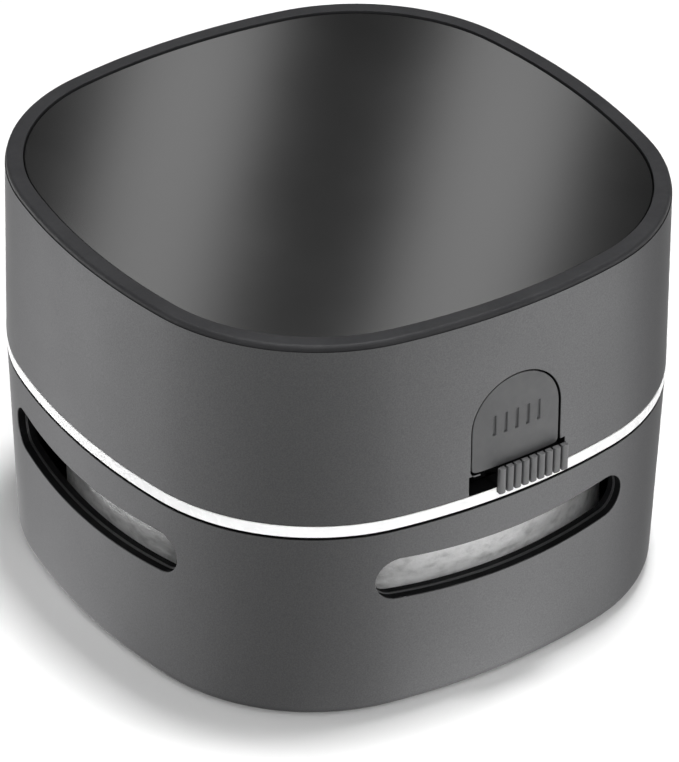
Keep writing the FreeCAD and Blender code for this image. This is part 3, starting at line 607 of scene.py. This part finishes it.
felt_section = [(felt_inner, 0, felt_low)]
for row in range(felt_rows + 1):
    z = felt_low + (felt_high - felt_low) * row / felt_rows
    felt_section.append((felt_outer - felt_nap, 0, z))
felt_section.append((felt_inner, 0, felt_high))
felt = draw_line("felt_sleeve", felt_section, True)
open_edit(felt)
bpy.ops.mesh.select_all(action="SELECT")
bpy.ops.mesh.spin(
    steps=felt_columns, angle=-2 * math.pi, center=(0, 0, 0), axis=(0, 0, 1), dupli=False
)
tidy_mesh()
bpy.ops.mesh.select_all(action="DESELECT")
felt_mesh = bmesh.from_edit_mesh(felt.data)
for vertex in felt_mesh.verts:
    on_skin = math.hypot(vertex.co.x, vertex.co.y) > felt_outer - skin_depth
    between = felt_low + felt_margin < vertex.co.z < felt_high - felt_margin
    vertex.select_set(on_skin and between)
bmesh.update_edit_mesh(felt.data)
bpy.ops.transform.vertex_random(offset=matting, uniform=0.0, normal=1.0, seed=3)
close_edit()
smooth_faces(felt)


def needled_felt():
    """Needled fibre: pale, cloudy, with dust caught in it and a matted relief."""
    material, tree, shader, place = start_material("needled filter felt")
    stretch = tree.nodes.new("ShaderNodeMapping")
    stretch.inputs["Scale"].default_value = (1.0, 1.0, 1.9)
    tree.links.new(place, stretch.inputs["Vector"])
    fibre = grain(tree, stretch.outputs["Vector"], 420, 8.0)
    colour = shades(tree, fibre, [(0.3, 0.62), (0.5, 0.88), (0.68, 0.95)])
    tree.links.new(colour, shader.inputs["Base Color"])
    shader.inputs["Roughness"].default_value = 0.95
    shader.inputs["Sheen Weight"].default_value = 0.3
    relief(tree, shader, grain(tree, stretch.outputs["Vector"], 700, 8.0), 0.8, 0.3 * MM)
    return material


felt.data.materials.append(needled_felt())
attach(felt, "base")
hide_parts("filter_felt")


# ---------------------------------------------------------------------------
# Motor deck: a black moulded plate with the two battery bays and the cup that the motor
# stands in. Its covers are screwed on from below, and four screws hold it to the shell.
# ---------------------------------------------------------------------------

dress(bare_black, "motor_deck", "motor_cup", "battery_covers")
dress(screw_steel, "deck_screws", "cover_screws", "clamp_screws")


# ---------------------------------------------------------------------------
# Cells and their contacts: two AA cells in printed sleeves, left plain here, between
# nickel plated plates and springs.
# ---------------------------------------------------------------------------

cell_reach = 30
cell_sleeve_start = -22.7
cell_sleeve_end = 26.7
copper_share = 0.55


def cell_finish():
    """Sleeve in two colours along the cell, bare steel at both ends."""
    material, tree, shader, place = start_material("cell sleeve")
    split = tree.nodes.new("ShaderNodeSeparateXYZ")
    tree.links.new(place, split.inputs["Vector"])
    way = tree.nodes.new("ShaderNodeMath")
    way.operation = "SIGN"
    tree.links.new(split.outputs["X"], way.inputs[0])
    along = tree.nodes.new("ShaderNodeMath")
    along.operation = "MULTIPLY"
    tree.links.new(split.outputs["Y"], along.inputs[0])
    tree.links.new(way.outputs[0], along.inputs[1])
    share = tree.nodes.new("ShaderNodeMapRange")
    share.inputs["From Min"].default_value = -cell_reach * MM
    share.inputs["From Max"].default_value = cell_reach * MM
    tree.links.new(along.outputs[0], share.inputs["Value"])
    first = (cell_sleeve_start + cell_reach) / (2 * cell_reach)
    last = (cell_sleeve_end + cell_reach) / (2 * cell_reach)
    steel, dark, copper = (0.55, 0.55, 0.54), (0.03, 0.035, 0.04), (0.62, 0.33, 0.14)
    stops = [(0.0, steel), (first, dark), (first + copper_share, copper), (last, steel)]
    colour = shades(tree, share.outputs["Result"], stops)
    colour.node.color_ramp.interpolation = "CONSTANT"
    tree.links.new(colour, shader.inputs["Base Color"])
    gloss = grain(tree, place, 300, 3.0)
    tree.links.new(shades(tree, gloss, [(0.3, 0.26), (0.7, 0.34)]), shader.inputs["Roughness"])
    shader.inputs["Metallic"].default_value = 0.7
    relief(tree, shader, gloss, 0.1, 0.05 * MM)
    return material


nickel = plated_steel("nickel plated steel", (0.55, 0.54, 0.5), (0.72, 0.71, 0.67), 0.24)
dress(cell_finish(), "battery_cells")
dress(nickel, "contact_plates", "contact_springs", "motor_terminals", "motor_clamp", "motor_shaft")


# ---------------------------------------------------------------------------
# Motor: a small flat-sided can of plated steel with two ferrite magnets, a wound armature
# and a copper commutator, closed by a pale plastic end bell.
# ---------------------------------------------------------------------------


def wound_iron():
    """Stacked laminations with enamelled copper wire between them."""
    material, tree, shader, place = start_material("laminations and windings")
    turns = tree.nodes.new("ShaderNodeTexWave")
    turns.bands_direction = "Z"
    turns.inputs["Scale"].default_value = 900
    turns.inputs["Distortion"].default_value = 1.5
    tree.links.new(place, turns.inputs["Vector"])
    iron, copper = (0.2, 0.07, 0.03), (0.62, 0.27, 0.12)
    colour = shades(tree, turns.outputs["Fac"], [(0.2, iron), (0.8, copper)])
    tree.links.new(colour, shader.inputs["Base Color"])
    shader.inputs["Metallic"].default_value = 0.8
    shader.inputs["Roughness"].default_value = 0.38
    relief(tree, shader, turns.outputs["Fac"], 0.4, 0.1 * MM)
    return material


motor_steel = plated_steel("motor can steel", (0.48, 0.48, 0.49), (0.6, 0.6, 0.6), 0.3)
ferrite = moulded_plastic("sintered ferrite", (0.02, 0.02, 0.022), (0.045, 0.045, 0.048), 0.6, 1800)
copper_bar = plated_steel("polished copper", (0.6, 0.28, 0.15), (0.78, 0.42, 0.24), 0.25)
pale_plastic = moulded_plastic("pale plastic", (0.68, 0.67, 0.63), (0.76, 0.75, 0.71), 0.42)
dress(motor_steel, "motor_can")
dress(ferrite, "motor_magnets")
dress(wound_iron(), "armature")
dress(copper_bar, "commutator")
dress(pale_plastic, "motor_end_bell", "impeller")


# ---------------------------------------------------------------------------
# Switch board and leads: a bare phenolic board with a steel-cased slide switch, and four
# thin leads with soft sleeves, red on the one side and black on the other.
# ---------------------------------------------------------------------------


def phenolic_board():
    """Pressed paper board with its fibres along X."""
    material, tree, shader, place = start_material("phenolic board")
    stretch = tree.nodes.new("ShaderNodeMapping")
    stretch.inputs["Scale"].default_value = (0.2, 1.0, 1.0)
    tree.links.new(place, stretch.inputs["Vector"])
    fibre = grain(tree, stretch.outputs["Vector"], 1500, 5.0)
    colour = shades(tree, fibre, [(0.3, (0.25, 0.14, 0.05)), (0.7, (0.4, 0.25, 0.1))])
    tree.links.new(colour, shader.inputs["Base Color"])
    shader.inputs["Roughness"].default_value = 0.5
    relief(tree, shader, fibre, 0.2, 0.03 * MM)
    return material


def lead_sleeve():
    """Soft wire sleeve, red where X is negative and black where it is positive."""
    material, tree, shader, place = start_material("wire sleeve")
    split = tree.nodes.new("ShaderNodeSeparateXYZ")
    tree.links.new(place, split.inputs["Vector"])
    share = tree.nodes.new("ShaderNodeMapRange")
    share.inputs["From Min"].default_value = -MM
    share.inputs["From Max"].default_value = MM
    tree.links.new(split.outputs["X"], share.inputs["Value"])
    red, black = (0.4, 0.02, 0.015), (0.02, 0.02, 0.02)
    colour = shades(tree, share.outputs["Result"], [(0.45, red), (0.55, black)])
    tree.links.new(colour, shader.inputs["Base Color"])
    gloss = grain(tree, place, 500, 2.0)
    tree.links.new(shades(tree, gloss, [(0.3, 0.4), (0.7, 0.52)]), shader.inputs["Roughness"])
    relief(tree, shader, gloss, 0.1, 0.05 * MM)
    return material


dress(phenolic_board(), "switch_board")
dress(nickel, "switch_body")
dress(lead_sleeve(), "lead_wires")


# ---------------------------------------------------------------------------
# Upper shell: moulded in one with its roof, sprayed like the lower one. It leans out a
# little towards the seam. The tab window and the switch window are cut through its front,
# and four posts under the roof take the deck screws.
# ---------------------------------------------------------------------------

upper_wall = 2.0 * MM
roof_low = 58.0 * MM
roof_height = 59.5 * MM
shell_rim = 60.3 * MM
seat_inset = 1.9 * MM
post_radius = 2.6 * MM
post_foot = 33.7 * MM
post_root = 0.5 * MM
post_x = 20.0 * MM
post_y = 33.2 * MM
pilot_radius = 1.1 * MM
pilot_top = 41.4 * MM
tab_half = 7.15 * MM
tab_foot = 36.4 * MM
tab_shoulder = 42.85 * MM
tab_corner = 0.8 * MM
tab_gap = 0.25 * MM
window_left = -7.2 * MM
window_right = 8.7 * MM
window_top = 36.1 * MM
window_bridge = 1.8 * MM
cut_front = -52 * MM
cut_travel = 20 * MM
round_steps = 40
foot_steps = 6
upper_edge = 0.14 * MM


def tab_places(growth, y):
    """Outline of the release tab seen from the front: straight foot and sides, round top."""
    radius = tab_half + growth
    low = tab_foot - growth
    places = []
    for step in range(round_steps + 1):
        angle = math.pi * step / round_steps
        x = tab_centre + radius * math.cos(angle)
        places.append((x, y, tab_shoulder + radius * math.sin(angle)))
    for side, start in ((-1, math.pi), (1, 1.5 * math.pi)):
        for step in range(foot_steps + 1):
            angle = start + math.pi / 2 * step / foot_steps
            x = tab_centre + side * (radius - tab_corner) + tab_corner * math.cos(angle)
            places.append((x, y, low + tab_corner + tab_corner * math.sin(angle)))
    return places


upper_shell = draw_line(
    "upper_shell_body",
    wall_places(
        [
            (lean(roof_low) + upper_wall, roof_low),
            (lean(seam_height) + upper_wall, seam_height),
            (lean(seam_height), seam_height),
            *[(lean(z * MM), z * MM) for z in (35, 38, 41, 44, 47, 51, 55.5)],
            (lean(shell_rim), shell_rim),
            (seat_inset, shell_rim),
            (seat_inset, roof_height),
        ]
    ),
    False,
)
spin_outline(upper_shell)
close_loops(upper_shell, roof_low, roof_height)
for x in (-post_x, post_x):
    for y in (-post_y, post_y):
        post = draw_rod("post", post_radius, post_foot, roof_low + post_root, x, y, sides=40)
        pilot = draw_rod("pilot", pilot_radius, post_foot - MM, pilot_top, x, y, sides=32)
        combine(post, pilot, "DIFFERENCE")
        combine(upper_shell, post, "UNION")
tab_hole = draw_prism("tab_hole", tab_places(tab_gap, cut_front), (0, cut_travel, 0))
combine(upper_shell, tab_hole, "DIFFERENCE")
through = (cut_front, cut_front + cut_travel)
below_seam = seam_height - MM
window = draw_block(
    "window", (window_left, window_right), through, (below_seam, window_top)
)
combine(upper_shell, window, "DIFFERENCE")
bridge = draw_block(
    "bridge",
    (window_left + window_bridge, window_right),
    through,
    (below_seam, tab_foot + tab_corner / 2),
)
combine(upper_shell, bridge, "DIFFERENCE")
round_sharp_edges(upper_shell, upper_edge, crisp_height=shell_rim)
smooth_faces(upper_shell)
paint_outside(upper_shell, shell_lacquer, bare_black)
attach(upper_shell, "head")
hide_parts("upper_shell")


# ---------------------------------------------------------------------------
# Top: a matt rim moulded in dark plastic, and inside it a satin metal plate held down on
# the roof by a foam tape.
# ---------------------------------------------------------------------------

bezel_step = 0.12 * MM
bezel_rounding = 0.5 * MM
rim_width = 2.5 * MM
leg_inset = 2.0 * MM
plate_inset = 2.65 * MM
plate_low = 59.8 * MM
plate_high = 60.9 * MM
rim_steps = 6
rim_edge = 0.12 * MM
plate_edge = 0.15 * MM

cap_inset = lean(shell_rim) + bezel_step
rim_section = [(cap_inset, shell_rim)]
for step in range(rim_steps + 1):
    angle = math.pi / 2 * step / rim_steps
    inset = cap_inset + bezel_rounding * (1 - math.cos(angle))
    rim_section.append((inset, body_height - bezel_rounding + bezel_rounding * math.sin(angle)))
rim_section += [(rim_width, body_height), (rim_width, roof_height)]
rim_section += [(leg_inset, roof_height), (leg_inset, shell_rim)]
top_rim = draw_line("top_rim", wall_places(rim_section), True)
spin_outline(top_rim)
round_sharp_edges(top_rim, rim_edge, crisp_height=shell_rim)
smooth_faces(top_rim)
rim_black = moulded_plastic(
    "matt rim plastic",
    dark=(0.014, 0.014, 0.0155),
    light=(0.019, 0.019, 0.0205),
    rough=0.62,
    shine=0.3,
)
top_rim.data.materials.append(rim_black)
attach(top_rim, "head")
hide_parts("top_bezel")

dress(soft_rubber, "plate_tape")

plate_section = [(plate_inset, plate_low), (plate_inset, plate_high)]
plate = draw_line("satin_plate", wall_places(plate_section), False)
spin_outline(plate)
close_loops(plate, plate_low, plate_high)
round_sharp_edges(plate, plate_edge)
smooth_faces(plate)


def satin_metal():
    """Dark satin metal, evenly blasted, with a hardly visible cloud."""
    material, tree, shader, place = start_material("dark satin metal")
    cloud = grain(tree, place, 45, 3.0)
    tree.links.new(shades(tree, cloud, [(0.3, 0.15), (0.7, 0.165)]), shader.inputs["Base Color"])
    tree.links.new(shades(tree, cloud, [(0.3, 0.108), (0.7, 0.12)]), shader.inputs["Roughness"])
    shader.inputs["Metallic"].default_value = 1.0
    relief(tree, shader, grain(tree, place, 3000, 2.0), 0.02, 0.01 * MM)
    return material


plate.data.materials.append(satin_metal())
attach(plate, "head")
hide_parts("top_plate")


# ---------------------------------------------------------------------------
# Slide switch: a moulded knob with nine upright ribs for the thumb, kept in its window by
# a flange behind the wall, and the stem of the switch in its fork.
# ---------------------------------------------------------------------------

knob_left = -3.05 * MM
knob_right = 8.3 * MM
knob_low = 32.6 * MM
knob_high = 36.6 * MM
knob_front = -43.55 * MM
web_front = -42.85 * MM
web_back = -42.65 * MM
neck_setback = 0.4 * MM
neck_low = 33.2 * MM
neck_high = 35.8 * MM
flange_front = -39.5 * MM
flange_back = -38.6 * MM
flange_left = -4.55 * MM
flange_right = 9.05 * MM
fork_half = 2.2 * MM
fork_back = -37.3 * MM
fork_low = 33.8 * MM
fork_high = 36.2 * MM
stem_half = 0.9 * MM
stem_low = 34.6 * MM
stem_high = 35.8 * MM
knob_ribs = 9
groove_width = 0.3 * MM
rib_crown = 0.18 * MM
crown_steps = 8
sunk = 0.1 * MM
knob_edge = 0.09 * MM

knob = draw_block(
    "ribbed_knob", (knob_left, knob_right), (web_front, web_back), (knob_low, knob_high)
)
neck = draw_block(
    "neck",
    (knob_left + neck_setback, knob_right - neck_setback),
    (web_back - sunk, flange_back),
    (neck_low, neck_high),
)
combine(knob, neck, "UNION")
lip = draw_block(
    "lip", (flange_left, flange_right), (flange_front, flange_back), (neck_low, window_top)
)
combine(knob, lip, "UNION")
stem_centre = (knob_left + knob_right) / 2
fork = draw_block(
    "fork",
    (stem_centre - fork_half, stem_centre + fork_half),
    (flange_back - 2 * sunk, fork_back),
    (fork_low, fork_high),
)
combine(knob, fork, "UNION")
pocket = draw_block(
    "pocket",
    (stem_centre - stem_half, stem_centre + stem_half),
    (flange_back, fork_back + MM),
    (stem_low, stem_high),
)
combine(knob, pocket, "DIFFERENCE")

pitch = (knob_right - knob_left + groove_width) / knob_ribs
rib_half = (pitch - groove_width) / 2
rib_plan = [(-rib_half, web_front + sunk)]
for step in range(crown_steps + 1):
    angle = math.pi * (1 - step / crown_steps)
    crown_y = knob_front + rib_crown * (1 - math.sin(angle))
    rib_plan.append((rib_half * math.cos(angle), crown_y))
rib_plan.append((rib_half, web_front + sunk))
first_middle = knob_left + rib_half
rib_foot = [(first_middle + x, y, knob_low) for x, y in rib_plan]
rib = draw_prism("rib", rib_foot, (0, 0, knob_high - knob_low))
ribs = [rib]
for index in range(1, knob_ribs):
    use_only(rib)
    bpy.ops.object.duplicate(linked=False)
    copy = bpy.context.active_object
    open_edit(copy)
    bpy.ops.mesh.select_all(action="SELECT")
    bpy.ops.transform.translate(value=(pitch * index, 0, 0))
    close_edit()
    ribs.append(copy)
for copy in ribs:
    combine(knob, copy, "UNION")
round_sharp_edges(knob, knob_edge)
smooth_faces(knob)
knob_plastic = moulded_plastic("grey knob plastic", (0.082, 0.082, 0.084), (0.1, 0.1, 0.102), 0.45)
knob.data.materials.append(knob_plastic)
knob.data.materials.append(bare_black)
groove_shade_margin = 0.12 * MM
# The fronts and sides of the ribs are grey. The groove floors between them and all faces behind are
# painted black as shade in the grooves.
for face in knob.data.polygons:
    face.material_index = 0 if face.center.y < web_front - groove_shade_margin else 1
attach(knob, "switch")
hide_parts("switch_knob")
dress(bare_black, "switch_stem")


# ---------------------------------------------------------------------------
# Release tab: a grey moulded button flush with the wall, with five short grooves for the
# thumb. It is fixed to a black slider behind the wall, which a small spring pushes out.
# ---------------------------------------------------------------------------

tab_recess = 0.15 * MM
tab_thickness = 1.2 * MM
mark_count = 5
mark_pitch = 1.83 * MM
mark_half = 0.25 * MM
mark_middle = 43.0 * MM
mark_half_height = 1.55 * MM
mark_depth = 0.3 * MM
mark_front = -50 * MM
row_offsets = (0.1 * MM, 1.6 * MM)
tab_edge = 0.1 * MM


def front_face(x, z, inset):
    """Y of the front wall at a place, that far behind its surface."""
    return side_shift - math.sqrt((side_radius - lean(z) - inset) ** 2 - x**2)


tab_low = tab_foot - MM
tab_high = tab_shoulder + tab_half + MM
skin_rows = [tab_low, tab_foot + MM, tab_high - 3 * MM, tab_high]
for away in row_offsets:
    skin_rows.append(mark_middle - (mark_half_height + away))
    skin_rows.append(mark_middle + (mark_half_height + away))
skin_rows.sort()
tab_skin = draw_line(
    "tab_skin",
    wall_places(
        [
            (lean(tab_low) + tab_recess + tab_thickness, tab_low),
            *[(lean(z) + tab_recess, z) for z in skin_rows],
            (lean(tab_high) + tab_recess + tab_thickness, tab_high),
        ]
    ),
    True,
)
spin_outline(tab_skin)
tab = draw_prism("tab_button", tab_places(0, cut_front), (0, cut_travel, 0))
combine(tab, tab_skin, "INTERSECT")
for index in range(mark_count):
    x = tab_centre + mark_pitch * (index - (mark_count - 1) / 2)
    floor_y = front_face(x, mark_middle, tab_recess + mark_depth)
    mark = draw_block(
        "mark",
        (x - mark_half, x + mark_half),
        (mark_front, floor_y),
        (mark_middle - mark_half_height, mark_middle + mark_half_height),
    )
    combine(tab, mark, "DIFFERENCE")
round_sharp_edges(tab, tab_edge)
smooth_faces(tab)
tab_plastic = moulded_plastic("grey tab plastic", (0.062, 0.062, 0.064), (0.075, 0.075, 0.077), 0.5)
tab.data.materials.append(tab_plastic)
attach(tab, "release")
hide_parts("push_tab")
dress(bare_black, "latch_slider")


# ---------------------------------------------------------------------------
# Latch spring: an open coil of nickel plated wire between the pin of the slider and the peg of the
# motor deck. On the real switch it shortens while the tab is pressed; here it is one fixed coil on
# the head.
# ---------------------------------------------------------------------------

coil_radius = 2.2 * MM
coil_wire = 0.25 * MM
wire_sides = 14
coil_turns = 6
steps_per_turn = 40
coil_front = -38.4 * MM
coil_back = -29.3 * MM
coil_height = 45.95 * MM

bpy.ops.object.select_all(action="DESELECT")
bpy.ops.mesh.primitive_circle_add(
    vertices=wire_sides,
    radius=coil_wire,
    fill_type="NOTHING",
    location=(coil_radius, coil_wire, 0),
)
coil = bpy.context.active_object
coil.name = "wound_spring"
bpy.ops.object.transform_apply(location=True, rotation=True, scale=True)
winding = coil.modifiers.new("winding", "SCREW")
winding.axis = "Y"
winding.angle = 2 * math.pi * coil_turns
winding.screw_offset = coil_back - coil_front - 2 * coil_wire
winding.steps = steps_per_turn * coil_turns
winding.render_steps = steps_per_turn * coil_turns
bpy.ops.object.modifier_apply(modifier=winding.name)
open_edit(coil, "EDGE")
bpy.ops.mesh.select_all(action="DESELECT")
bpy.ops.mesh.select_non_manifold(extend=False)
bpy.ops.mesh.edge_face_add()
tidy_mesh()
bpy.ops.transform.translate(value=(tab_centre, coil_front, coil_height))
close_edit()
smooth_faces(coil)
coil.data.materials.append(nickel)
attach(coil, "head")
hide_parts("latch_spring")
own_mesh(coil)


# ---------------------------------------------------------------------------
# Studio: a plain white floor that keeps the shadow, a broad soft lamp in front, a small one
# overhead for the shadow under the foot, and two strip lamps that the top plate mirrors.
# A ring-shaped card on the floor glows, seen only in gloss, and its painted levels give the lacquer
# a painted reflection of light and dark.
# ---------------------------------------------------------------------------

floor_width = 12
floor_glow = 0.04

bpy.ops.object.select_all(action="DESELECT")
bpy.ops.mesh.primitive_plane_add(size=1, location=(0, 0, 0))
floor = bpy.context.active_object
floor.name = "floor"
open_edit(floor)
bpy.ops.mesh.select_all(action="SELECT")
bpy.ops.transform.resize(value=(floor_width, floor_width, 1), center_override=(0, 0, 0))
bpy.ops.mesh.subdivide(number_cuts=3)
close_edit()

floor_paint, floor_tree, floor_shader, floor_place = start_material("floor paint")
floor_cloud = grain(floor_tree, floor_place, 3, 2.0)
floor_tone = shades(floor_tree, floor_cloud, [(0.3, 0.79), (0.7, 0.81)])
floor_tree.links.new(floor_tone, floor_shader.inputs["Base Color"])
floor_shader.inputs["Roughness"].default_value = 0.9
floor_shader.inputs["Specular IOR Level"].default_value = 0.1
rays = floor_tree.nodes.new("ShaderNodeLightPath")
seen = floor_tree.nodes.new("ShaderNodeMath")
seen.operation = "MAXIMUM"
seen_or_passed = floor_tree.nodes.new("ShaderNodeMath")
seen_or_passed.operation = "MAXIMUM"
floor_tree.links.new(rays.outputs["Is Camera Ray"], seen.inputs[0])
floor_tree.links.new(rays.outputs["Is Glossy Ray"], seen.inputs[1])
floor_tree.links.new(seen.outputs[0], seen_or_passed.inputs[0])
floor_tree.links.new(rays.outputs["Is Transmission Ray"], seen_or_passed.inputs[1])
glow = floor_tree.nodes.new("ShaderNodeMath")
glow.operation = "MULTIPLY"
glow.inputs[1].default_value = floor_glow
floor_tree.links.new(seen_or_passed.outputs[0], glow.inputs[0])
floor_shader.inputs["Emission Color"].default_value = (1, 1, 1, 1)
floor_tree.links.new(glow.outputs[0], floor_shader.inputs["Emission Strength"])
floor.data.materials.append(floor_paint)

world = bpy.context.scene.world or bpy.data.worlds.new("studio")
bpy.context.scene.world = world
world.use_nodes = True
sky = world.node_tree
sky_place = sky.nodes.new("ShaderNodeTexCoord")
sky_split = sky.nodes.new("ShaderNodeSeparateXYZ")
sky.links.new(sky_place.outputs["Generated"], sky_split.inputs["Vector"])
sky_levels = [(0.0, 0.7), (0.3, 0.28), (0.47, 0.05), (0.62, 0.05), (0.82, 0.4), (1.0, 0.5)]
sky_tone = shades(sky, sky_split.outputs["Z"], sky_levels)
sky.links.new(sky_tone, sky.nodes["Background"].inputs["Color"])
sky.nodes["Background"].inputs["Strength"].default_value = 1.0

camera_azimuth = math.radians(-34.9)
camera_elevation = math.radians(33.49)
towards_camera = Vector((math.sin(camera_azimuth), -math.cos(camera_azimuth), 0))
sideways = Vector((math.cos(camera_azimuth), math.sin(camera_azimuth), 0))
upwards = Vector((0, 0, 1))


def soft_box(name, place, aim, width, height, radiance, roll=0.0):
    """Rectangular lamp with a given radiance that faces an aim point."""
    lamp = bpy.data.lights.new(name, "AREA")
    lamp.shape = "RECTANGLE"
    lamp.size = width
    lamp.size_y = height
    lamp.energy = radiance * math.pi * width * height
    holder = bpy.data.objects.new(name, lamp)
    bpy.context.scene.collection.objects.link(holder)
    holder.location = place
    turn = (aim - place).to_track_quat("-Z", "Y")
    holder.rotation_mode = "QUATERNION"
    about_axis = Matrix.Rotation(math.radians(roll), 4, "Z").to_quaternion()
    holder.rotation_quaternion = turn @ about_axis


middle = Vector((0, 0, 30 * MM))
front_place = towards_camera * 1.02 + sideways * 0.15 + upwards * 0.88
top_place = sideways * 0.08 - towards_camera * 0.055 + upwards * 1.13
soft_box("front lamp", front_place, middle, width=0.9, height=0.7, radiance=4.6)
soft_box("top lamp", top_place, middle, width=0.16, height=0.16, radiance=140.0)

ring_inner = 40 * MM
ring_growth = 8
ring_lift = 0.4 * MM
ring_shift = (-31 * MM, 8 * MM, 0)
brightest_card = 3

bpy.ops.object.select_all(action="DESELECT")
bpy.ops.mesh.primitive_circle_add(
    vertices=128, radius=ring_inner, fill_type="NOTHING", location=(0, 0, ring_lift)
)
glow_card = bpy.context.active_object
glow_card.name = "glowing ring card"
bpy.ops.object.transform_apply(location=True, rotation=True, scale=True)
open_edit(glow_card)
bpy.ops.mesh.select_all(action="SELECT")
bpy.ops.mesh.extrude_region_move()
bpy.ops.transform.resize(value=(ring_growth, ring_growth, 1), center_override=(0, 0, 0))
close_edit()
glow_card.visible_camera = False
glow_card.visible_diffuse = False
glow_card.visible_transmission = False
glow_card.visible_shadow = False

ring_glow, ring_tree, ring_shader, ring_place = start_material("glowing card levels")
turned = ring_tree.nodes.new("ShaderNodeMapping")
turned.inputs["Rotation"].default_value = (0, 0, math.pi / 2 - camera_azimuth)
turned.inputs["Location"].default_value = ring_shift
ring_tree.links.new(ring_place, turned.inputs["Vector"])
around = ring_tree.nodes.new("ShaderNodeTexGradient")
around.gradient_type = "RADIAL"
ring_tree.links.new(turned.outputs["Vector"], around.inputs["Vector"])
# Painted brightness of the glowing card by its angle from the camera's side, in degrees: the
# lacquer mirrors these levels as its light and dark. A colour band ends at one, so it holds each
# level as a share of the brightest, which the strength gives back.
card_levels = [
    (-180, 1.3),
    (-150, 1.7),
    (-132, 2.3),
    (-117, 2.95),
    (-102, 2.3),
    (-94, 1.85),
    (-85, 1.4),
    (-67, 1.05),
    (-51, 0.86),
    (-35, 0.67),
    (-21, 0.58),
    (-6, 0.54),
    (8, 0.57),
    (22, 0.69),
    (37, 0.8),
    (50, 1.05),
    (57, 1.3),
    (75, 1.87),
    (86, 2.15),
    (97, 1.65),
    (114, 1.35),
    (148, 1.2),
    (180, 1.3),
]
card_stops = [(offset / 360 + 0.5, level / brightest_card) for offset, level in card_levels]
ring_tone = shades(ring_tree, around.outputs["Fac"], card_stops)
ring_tree.links.new(ring_tone, ring_shader.inputs["Emission Color"])
ring_shader.inputs["Base Color"].default_value = (0, 0, 0, 1)
ring_shader.inputs["Specular IOR Level"].default_value = 0
ring_shader.inputs["Emission Strength"].default_value = brightest_card
glow_card.data.materials.append(ring_glow)

plate_middle = Vector((-1.7, -0.6, 60.9)) * MM
mirrored = upwards * math.sin(camera_elevation) - towards_camera * math.cos(camera_elevation)
strip_up = upwards * math.cos(camera_elevation) + towards_camera * math.sin(camera_elevation)
strip_distance = 2.0
strip_length = 0.42
strip_radiance = 1.2
for name, across, rise, width, roll in (
    ("left strip", -106.4 * MM, -7.0 * MM, 74 * MM, -14.5),
    ("right strip", 61.3 * MM, 7.4 * MM, 76 * MM, -12.0),
):
    place = plate_middle + mirrored * strip_distance + sideways * across + strip_up * rise
    soft_box(name, place, plate_middle, width, strip_length, strip_radiance, roll)

camera_distance = 714.2 * MM
camera_roll = math.radians(0.806)
focal_pixels = 5071
frame_pixels = 762
sensor_width = 36

camera_data = bpy.data.cameras.new("camera")
camera = bpy.data.objects.new("camera", camera_data)
bpy.context.scene.collection.objects.link(camera)
back = towards_camera * math.cos(camera_elevation) + upwards * math.sin(camera_elevation)
camera_up = back.cross(sideways)
aim = (Vector((0, 0, 25)) + sideways * 0.693 + camera_up * 0.64) * MM
camera.location = aim + back * camera_distance
camera_turn = (aim - camera.location).to_track_quat("-Z", "Y")
camera.rotation_mode = "QUATERNION"
camera.rotation_quaternion = camera_turn @ Matrix.Rotation(camera_roll, 4, "Z").to_quaternion()
camera_data.lens = focal_pixels * sensor_width / frame_pixels
camera_data.clip_start = 0.05
camera_data.clip_end = 20
bpy.context.scene.camera = camera
bpy.context.scene.view_settings.view_transform = "Standard"
